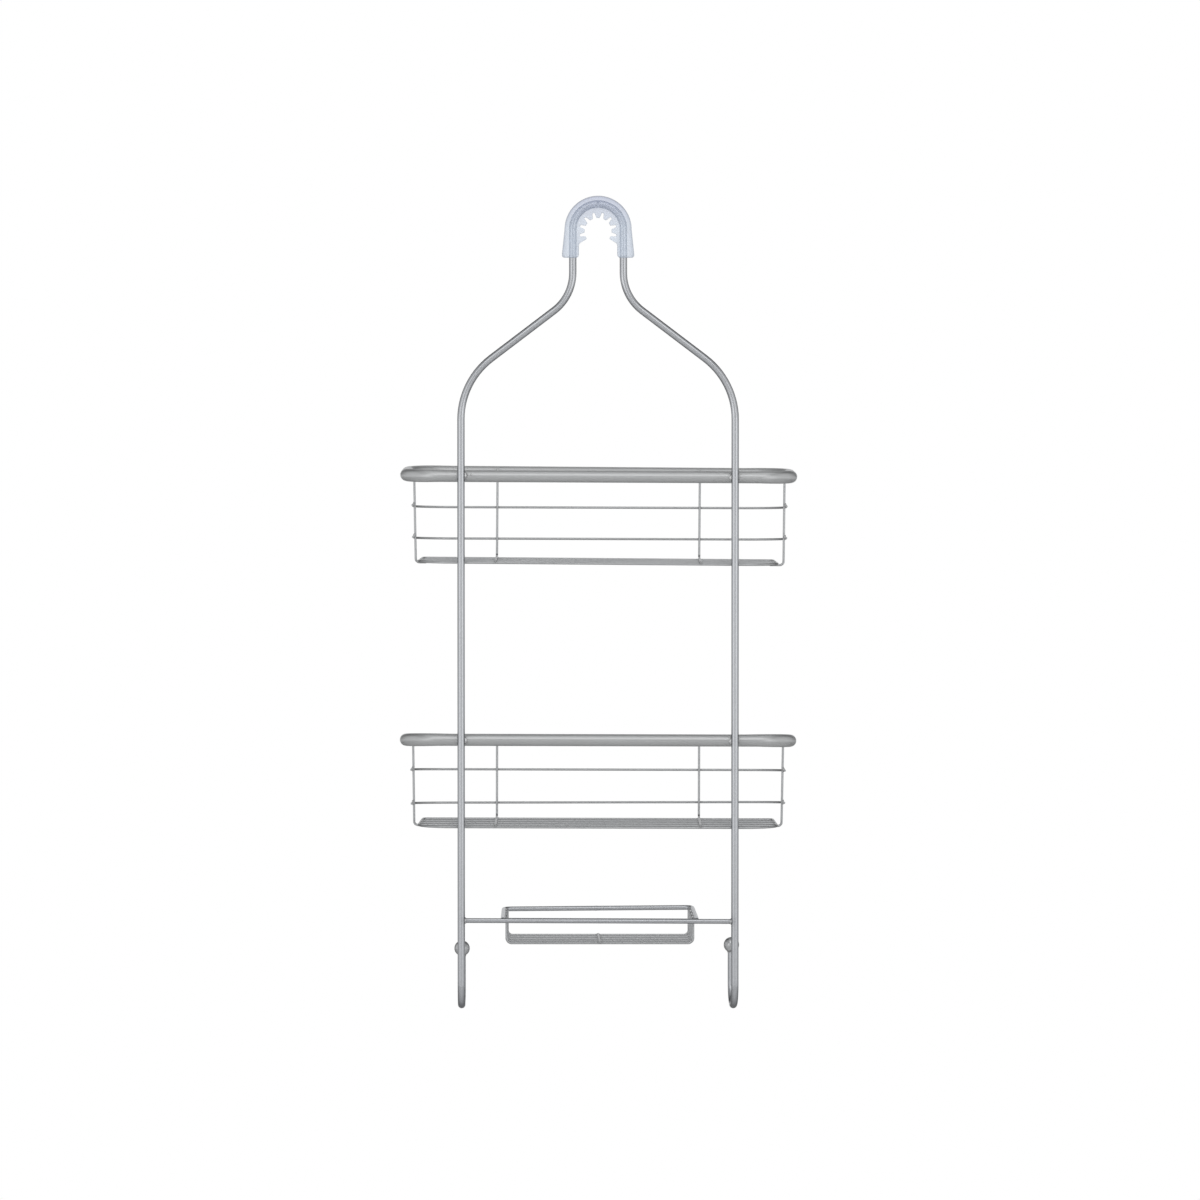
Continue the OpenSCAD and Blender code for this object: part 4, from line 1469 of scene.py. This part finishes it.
    def build(self, wardrobe: Wardrobe) -> None:
        """Builds and dresses every piece of the basket.

        Args:
            wardrobe: The materials.
        """
        self.note_welds()
        seam = self.hung_weld((self.seam_x, self.rim_back_y, 0), WeldSize.RIM_SEAM)
        rim, (spread, depth) = self.rim_surface(), self.seam_shade
        shade = np.maximum(
            weld_shading(rim, self.welds, self.rim_shade), depth * weld_shading(rim, [seam], spread)
        )
        wardrobe.dress(rim.to_object(f"{self.name}_rim_tube", shade), wardrobe.rim, f"{self.name}_rim")
        wires = {f"ring_{level.value}": self.ring_surface(level) for level in Level}
        wires["base_loop"] = self.base_surface()
        for side in Side:
            wires[f"front_wire_{side.word}"] = self.front_wire_surface(side)
            wires[f"end_wire_{side.word}"] = self.end_wire_surface(side)
        for number in self.rack_numbers:
            wires[f"rack_wire_{number}"] = self.rack_surface(number)
        for title, surface in wires.items():
            node = f"{self.name}_{title}"
            piece = surface.to_object(f"{node}_coated", weld_shading(surface, self.welds, self.weld_shade))
            wardrobe.dress(piece, wardrobe.wire, node)
        piece = weld_lumps(self.welds + self.beads).to_object(f"{self.name}_basket_welds")
        wardrobe.dress(piece, wardrobe.weld)


@dataclass
class SoapDish:
    """The cross bar and the dish that hangs from it."""

    bar_drop: float = 540.4
    bar_slope: float = 0.2
    bar_d: float = 3.8
    upright_x: float = 107.3
    frame_d: float = 5.8
    rail_d: float = 3.8
    rail_w_back: float = 152.4
    rail_w_front: float = 149.4
    rail_shift_back: float = 1.5
    rail_shift_front: float = -0.1
    rail_depth: float = 88.0
    rail_rise: float = 2.7
    rail_twist: float = 1.2
    rail_corner_r: float = 6.0
    wire_d: float = 1.8
    height: float = 18.2
    cradle_count: int = 5
    cradle_inset: float = 6.0
    cross_wire_set: float = 1.2
    cradle_bend_r: float = 4.0
    seam_x: float = -1.5
    # Welds: where they sit on the bar, the rail and the cradle, and how far their shade spreads.
    bar_weld_in: float = 0.2
    rail_weld_inset: float = 9.0
    cross_weld_rise: float = 0.6
    weld_shade: float = 1.2
    welds: list[Weld] = field(default_factory=list)

    @property
    def cradle_numbers(self) -> range:
        """Numbers of the cradle wires."""
        return range(1, self.cradle_count + 1)

    @property
    def low_z(self) -> float:
        """Height of the cradle wires' low runs."""
        return -self.bar_drop - self.height

    @property
    def back_y(self) -> float:
        """Depth of the rail's back run."""
        return (self.bar_d + self.rail_d) / 2

    def bar_z(self, x: float) -> float:
        """Height of the bar's centre line at x."""
        return -self.bar_drop - x * tan_deg(self.bar_slope)

    def between(self, y: float, back: float, front: float) -> float:
        """Value at depth y between the rail's back run and its front run."""
        return back + (front - back) * (y - self.back_y) / self.rail_depth

    def rail_mid(self, y: float) -> float:
        """Middle of the rail at depth y."""
        return self.between(y, self.rail_shift_back, self.rail_shift_front)

    def rail_x(self, side: int, y: float, inset: float = 0.0) -> float:
        """Place of one side of the rail at depth y, this far inside it."""
        half = self.between(y, self.rail_w_back, self.rail_w_front) / 2
        return self.rail_mid(y) + side * (half - inset)

    def rail_z(self, side: int, y: float) -> float:
        """Height of one side of the rail at depth y."""
        back = self.bar_z(self.rail_x(side, self.back_y))
        return self.between(y, back, -self.bar_drop + self.rail_rise + side * self.rail_twist / 2)

    def cradle_y(self, number: int) -> float:
        """Depth of cradle wire number i, counted from the wall side."""
        span = self.rail_depth - 2 * self.cradle_inset
        return self.back_y + self.cradle_inset + (number - 1) * span / (self.cradle_count - 1)

    def note_welds(self) -> None:
        """Notes a weld wherever two pieces of the dish touch."""
        edge = self.upright_x - self.frame_d / 2
        spots = []
        for side in (-1, 1):
            at = (side * (edge - self.bar_weld_in), 0, self.bar_z(side * edge))
            spots.append((at, WeldSize.BAR_ON_UPRIGHT))
            x = self.rail_x(side, self.back_y, self.rail_weld_inset)
            spots.append(((x, self.bar_d / 2, self.bar_z(x)), WeldSize.RAIL_ON_BAR))
            for y in map(self.cradle_y, self.cradle_numbers):
                at = (self.rail_x(side, y, self.rail_d / 2), y, self.rail_z(side, y))
                spots.append((at, WeldSize.CRADLE_TOP))
        cross_z = self.low_z + self.wire_d / 2 * self.cross_weld_rise
        for y in map(self.cradle_y, self.cradle_numbers):
            spots.append(((self.rail_mid(y), y, cross_z), WeldSize.CRADLE_CROSSING))
        self.welds.extend(Weld(at, size) for at, size in spots)

    def surfaces(self) -> dict[str, Surface]:
        """Makes the surfaces of the bar, the rail, the cross wire and the cradle wires.

        The rail's butt seam is a ridge of SEAM_RISE exp(-(d / spread)^2).

        Returns:
            The surfaces by CAD node.
        """
        x, front_y, low_z = self.upright_x - self.frame_d / 2, self.back_y + self.rail_depth, self.low_z
        bar = route_through([(-x, 0, self.bar_z(-x)), (x, 0, self.bar_z(x))], [], (0, 0, 1))
        rounds = [(-1, self.back_y), (1, self.back_y), (1, front_y), (-1, front_y)]
        corners = [(self.rail_x(side, y), y, self.rail_z(side, y)) for side, y in rounds]
        rail = route_through(corners, [self.rail_corner_r] * 4, (0, 0, 1), closed=True)
        seam = np.array([self.seam_x, front_y, -self.bar_drop + self.rail_rise])
        gap = np.linalg.norm(rail.points - seam, axis=1)
        ridge = SEAM_RISE * np.exp(-((gap / RAIL_SEAM_SPREAD) ** 2))
        ends = (self.cradle_y(1) - self.wire_d, self.cradle_y(self.cradle_count) + self.wire_d)
        cross_z = low_z + self.wire_d - self.cross_wire_set
        cross = route_through([(self.rail_mid(y), y, cross_z) for y in ends], [], (0, 0, 1))
        made = {
            "soap_bar": tube(bar, self.bar_d, sides=24),
            "soap_rail": tube(rail, self.rail_d, sides=20, swell=ridge, flatten=0.03),
            "soap_cross_wire": tube(cross, self.wire_d, sides=16),
        }
        inset = (self.rail_d + self.wire_d) / 2
        for number in self.cradle_numbers:
            y = self.cradle_y(number)
            left, right = self.rail_x(-1, y, inset), self.rail_x(1, y, inset)
            path = [
                (left, y, self.rail_z(-1, y)), (left, y, low_z),
                (right, y, low_z), (right, y, self.rail_z(1, y)),
            ]
            route = route_through(path, [self.cradle_bend_r] * 2, (0, 1, 0))
            made[f"soap_cradle_wire_{number}"] = tube(route, self.wire_d, sides=16, flatten=0.03)
        return made

    def build(self, wardrobe: Wardrobe) -> None:
        """Builds and dresses every piece of the dish.

        Args:
            wardrobe: The materials.
        """
        self.note_welds()
        for node, surface in self.surfaces().items():
            finish = wardrobe.rod if node in ("soap_bar", "soap_rail") else wardrobe.wire
            piece = surface.to_object(f"{node}_coated", weld_shading(surface, self.welds, self.weld_shade))
            wardrobe.dress(piece, finish, node)
        piece = weld_lumps(self.welds).to_object("soap_dish_welds")
        wardrobe.dress(piece, wardrobe.weld)


# ---------------------------------------------------------------- studio


@dataclass(frozen=True)
class Softbox:
    """A rectangular lamp that faces the caddy.

    Args:
        name: Name of the lamp.
        azimuth: Degrees round the caddy; 0 is the wall side and 90 is +X.
        elevation: Degrees above the horizon.
        distance: Metres from the caddy's middle.
        size: Width and height in metres.
        level: Brightness of its face, where 1 is white.
    """

    name: str
    azimuth: float
    elevation: float
    distance: float
    size: tuple[float, float]
    level: float


@dataclass
class Studio:
    """Floor, surround, lamps and camera. Lengths are metres.

    Args:
        middle: Point that the lamps face.
        floor_z: Height of the floor.
        floor_r: Radius of the floor.
        floor_colour: Colour of the floor.
        floor_white: Share of plain white that the eye finds in the floor, near and far.
        near_span: Distances over which that share grows.
        far_span: Distances over which mirrored rays come to find the floor white.
        surround_level: Level of the surround as a light, and mirrored on the wall side.
        back_level: Mirrored level of the surround on the room side.
        side_level: Mirrored level of the surround to the left and right.
        back_span: Y of a direction over which the wall side goes over to the room side.
        side_span: Distance of a direction's X from 0 over which the sides begin.
        sheet_reach: Degrees from +Y out to the edge of the white sheet that metal mirrors.
        sheet_blur: Degrees over which that edge fades to either side.
        camera_at: Place of the camera.
        camera_pitch: Degrees that the camera looks down.
        lens: Focal length in millimetres.
        lamps: The softboxes.
    """

    middle: Vector3 = (0.0, 0.05, -0.30)
    floor_z: float = -0.95
    floor_r: float = 40.0
    floor_colour: Vector3 = (0.9, 0.9, 0.9)
    floor_white: tuple[float, float] = (0.72, 1.0)
    near_span: tuple[float, float] = (0.3, 1.6)
    far_span: tuple[float, float] = (2.0, 5.0)
    surround_level: float = 0.42
    back_level: float = 0.2
    side_level: float = 0.74
    back_span: tuple[float, float] = (-0.2, 0.3)
    side_span: tuple[float, float] = (0.55, 0.8)
    sheet_reach: float = 28.0
    sheet_blur: float = 8.0
    camera_at: Vector3 = (0.0015, -6.190, -0.030)
    camera_pitch: float = 2.39
    lens: float = 237.33
    lamps: tuple[Softbox, ...] = (
        Softbox("left_softbox", -38, 8, 2.4, (1.0, 1.45), 0.72),
        Softbox("right_softbox", 38, 8, 2.4, (1.0, 1.45), 0.72),
        Softbox("top_softbox", 0, 37, 2.4, (2.6, 1.5), 0.88),
        Softbox("overhead_softbox", 0, 80, 2.0, (2.6, 1.0), 0.5),
        Softbox("back_left_softbox", -165, 50, 2.6, (1.0, 1.0), 0.6),
        Softbox("back_right_softbox", 165, 50, 2.6, (1.0, 1.0), 0.6),
    )

    def floor_surface(self, rows: int = 24, columns: int = 96) -> Surface:
        """Round floor: ring k of n lies at radius floor_r (k / n)^2.

        Args:
            rows: Number of rings.
            columns: Vertices in each ring.

        Returns:
            The floor, facing up.
        """
        radius = self.floor_r * (np.arange(1, rows + 1) / rows)[:, None] ** 2
        turn = circle_of(columns)[None, :]
        level = self.floor_z + 0 * radius * turn
        ring = np.stack([radius * np.cos(turn), radius * np.sin(turn), level], axis=-1)
        vertices = np.concatenate([ring.reshape(-1, 3), [[0, 0, self.floor_z]]]) / MM
        quads = grid_quads(rows, columns, closed_rows=False)[:, ::-1]
        return Surface.plain(vertices, quads, pole_fans(rows, columns)[:columns, [0, 2, 1]])

    def build_floor(self) -> None:
        """Plain pale floor that the eye finds whiter, and plain white far away."""
        floor = self.floor_surface().to_object("studio_floor")
        material = bpy.data.materials.new("pale_floor")
        shader = Shader.fresh(material)
        matt = shader.node("ShaderNodeBsdfDiffuse", {"Color": (*self.floor_colour, 1)})
        white = shader.node("ShaderNodeEmission", {"Color": WHITE, "Strength": 1.0})
        place = shader.node("ShaderNodeTexCoord").outputs["Object"]
        away = shader.node("ShaderNodeVectorMath", {0: place, 1: (0, 0, -self.floor_z)}, operation="ADD")
        length = shader.node("ShaderNodeVectorMath", {0: away.outputs[0]}, operation="LENGTH")
        reach = length.outputs["Value"]
        share = shader.ramp(reach, self.near_span, self.floor_white)
        seen = self.seen_level(shader, shader.ramp(reach, self.far_span), 0.0)
        share = shader.maths("MULTIPLY", share, seen)
        mix = shader.node("ShaderNodeMixShader", {0: share, 1: matt.outputs[0], 2: white.outputs[0]})
        shader.node("ShaderNodeOutputMaterial", {"Surface": mix.outputs[0]})
        floor.data.materials.append(material)

    @staticmethod
    def seen_level(shader: Shader, mirrored: bpy.types.NodeSocket, as_light: float) -> bpy.types.NodeSocket:
        """How white each kind of ray finds the floor or the surround.

        Args:
            shader: Shader of the world or the floor.
            mirrored: Level that mirrored rays find, 0 to 1.
            as_light: Level that the remaining rays find.

        Returns:
            1 for rays from the camera and transmitted rays, otherwise the given levels.
        """
        rays = shader.node("ShaderNodeLightPath").outputs
        eye = shader.maths("ADD", rays["Is Camera Ray"], rays["Is Transmission Ray"], clamp=True)
        glossy = shader.maths("MULTIPLY", rays["Is Glossy Ray"], mirrored)
        rest = shader.maths("SUBTRACT", 1.0, rays["Is Glossy Ray"])
        other = shader.maths("ADD", glossy, shader.maths("MULTIPLY", rest, as_light))
        return shader.maths("MAXIMUM", eye, other)

    def build_world(self) -> None:
        """White surround for the eye, and plain greys for every other ray.

        Mirrored rays meet a white sheet round +Y, on the room side. Beside it they find the
        side level to the left and right, the back level towards the room and the surround
        level towards the wall side. Rays of soft light find the surround level.
        """
        world = bpy.data.worlds.new("white_surround")
        bpy.context.scene.world = world
        shader = Shader.fresh(world)
        direction = shader.node("ShaderNodeTexCoord").outputs["Generated"]
        split = shader.node("ShaderNodeSeparateXYZ", {0: direction}).outputs
        edges = (self.sheet_reach + self.sheet_blur, self.sheet_reach - self.sheet_blur)
        sheet = shader.ramp(split["Y"], tuple(math.cos(math.radians(edge)) for edge in edges))
        plain = shader.ramp(split["Y"], self.back_span, (self.surround_level, self.back_level))
        aside = shader.maths("ABSOLUTE", split["X"])
        beside = shader.ramp(aside, self.side_span, (0.0, self.side_level))
        mirrored = shader.maths("MAXIMUM", sheet, shader.maths("MAXIMUM", plain, beside))
        level = self.seen_level(shader, mirrored, self.surround_level)
        sky = shader.node("ShaderNodeBackground", {"Color": WHITE, "Strength": level})
        shader.node("ShaderNodeOutputWorld", {"Surface": sky.outputs[0]})

    def build_lamps(self) -> None:
        """Area lamps: power = level * pi * width * height, so that the face shows its level."""
        for box in self.lamps:
            lamp = bpy.data.lights.new(box.name, "AREA")
            lamp.shape = "RECTANGLE"
            lamp.size, lamp.size_y = box.size
            lamp.energy = box.level * math.pi * box.size[0] * box.size[1]
            made = bpy.data.objects.new(box.name, lamp)
            a, e = math.radians(box.azimuth), math.radians(box.elevation)
            away = np.array([math.sin(a) * math.cos(e), -math.cos(a) * math.cos(e), math.sin(e)])
            made.location = np.array(self.middle) + away * box.distance
            made.rotation_euler = (math.pi / 2 - e, 0, a)
            bpy.context.scene.collection.objects.link(made)

    def build_camera(self) -> None:
        """Camera square to the frame, a little above the middle and looking slightly down."""
        data = bpy.data.cameras.new("camera")
        data.sensor_width = 36.0
        data.lens = self.lens
        camera = bpy.data.objects.new("camera", data)
        camera.location = self.camera_at
        camera.rotation_euler = (math.radians(90 - self.camera_pitch), 0, 0)
        bpy.context.scene.collection.objects.link(camera)
        bpy.context.scene.camera = camera

    def build(self) -> None:
        """Builds the whole studio."""
        self.build_floor()
        self.build_world()
        self.build_lamps()
        self.build_camera()
        bpy.context.scene.view_settings.view_transform = "Standard"


def main() -> None:
    """Builds the caddy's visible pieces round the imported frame, then the studio."""
    logging.basicConfig(level=logging.INFO, format="%(name)s: %(message)s")
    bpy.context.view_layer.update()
    wardrobe = Wardrobe()
    wardrobe.build()
    baskets = [
        Basket(
            "upper", drop=191.4, dip=0.4, slope=0.45, shift=0.5,
            ring_drops={Level.HIGH: 28.0, Level.LOW: 53.0},
            ring_lifts={Level.HIGH: 1.3, Level.LOW: 1.3},
            seam_x=5.0, bead_places=(-102.2, -99.4), sag_left=1.0, wire_shift=0.5, foot_shift=0.8,
        ),
        Basket(
            "lower", drop=398.8, dip=6.4, slope=0.15, shift=0.0,
            ring_drops={Level.HIGH: 29.8, Level.LOW: 56.0},
            ring_lifts={Level.HIGH: 0.0, Level.LOW: 1.3},
            seam_x=-6.0,
        ),
    ]
    dish = SoapDish()
    for basket in baskets:
        basket.build(wardrobe)
    dish.build(wardrobe)
    touching = [weld for part in (*baskets, dish) for weld in part.welds]
    RodFrame().build(wardrobe, [weld for weld in touching if weld.at[1] < ROD_WELD_DEPTH])
    SoftGrip().build(wardrobe)
    Studio().build()


if __name__ == "__main__":
    main()
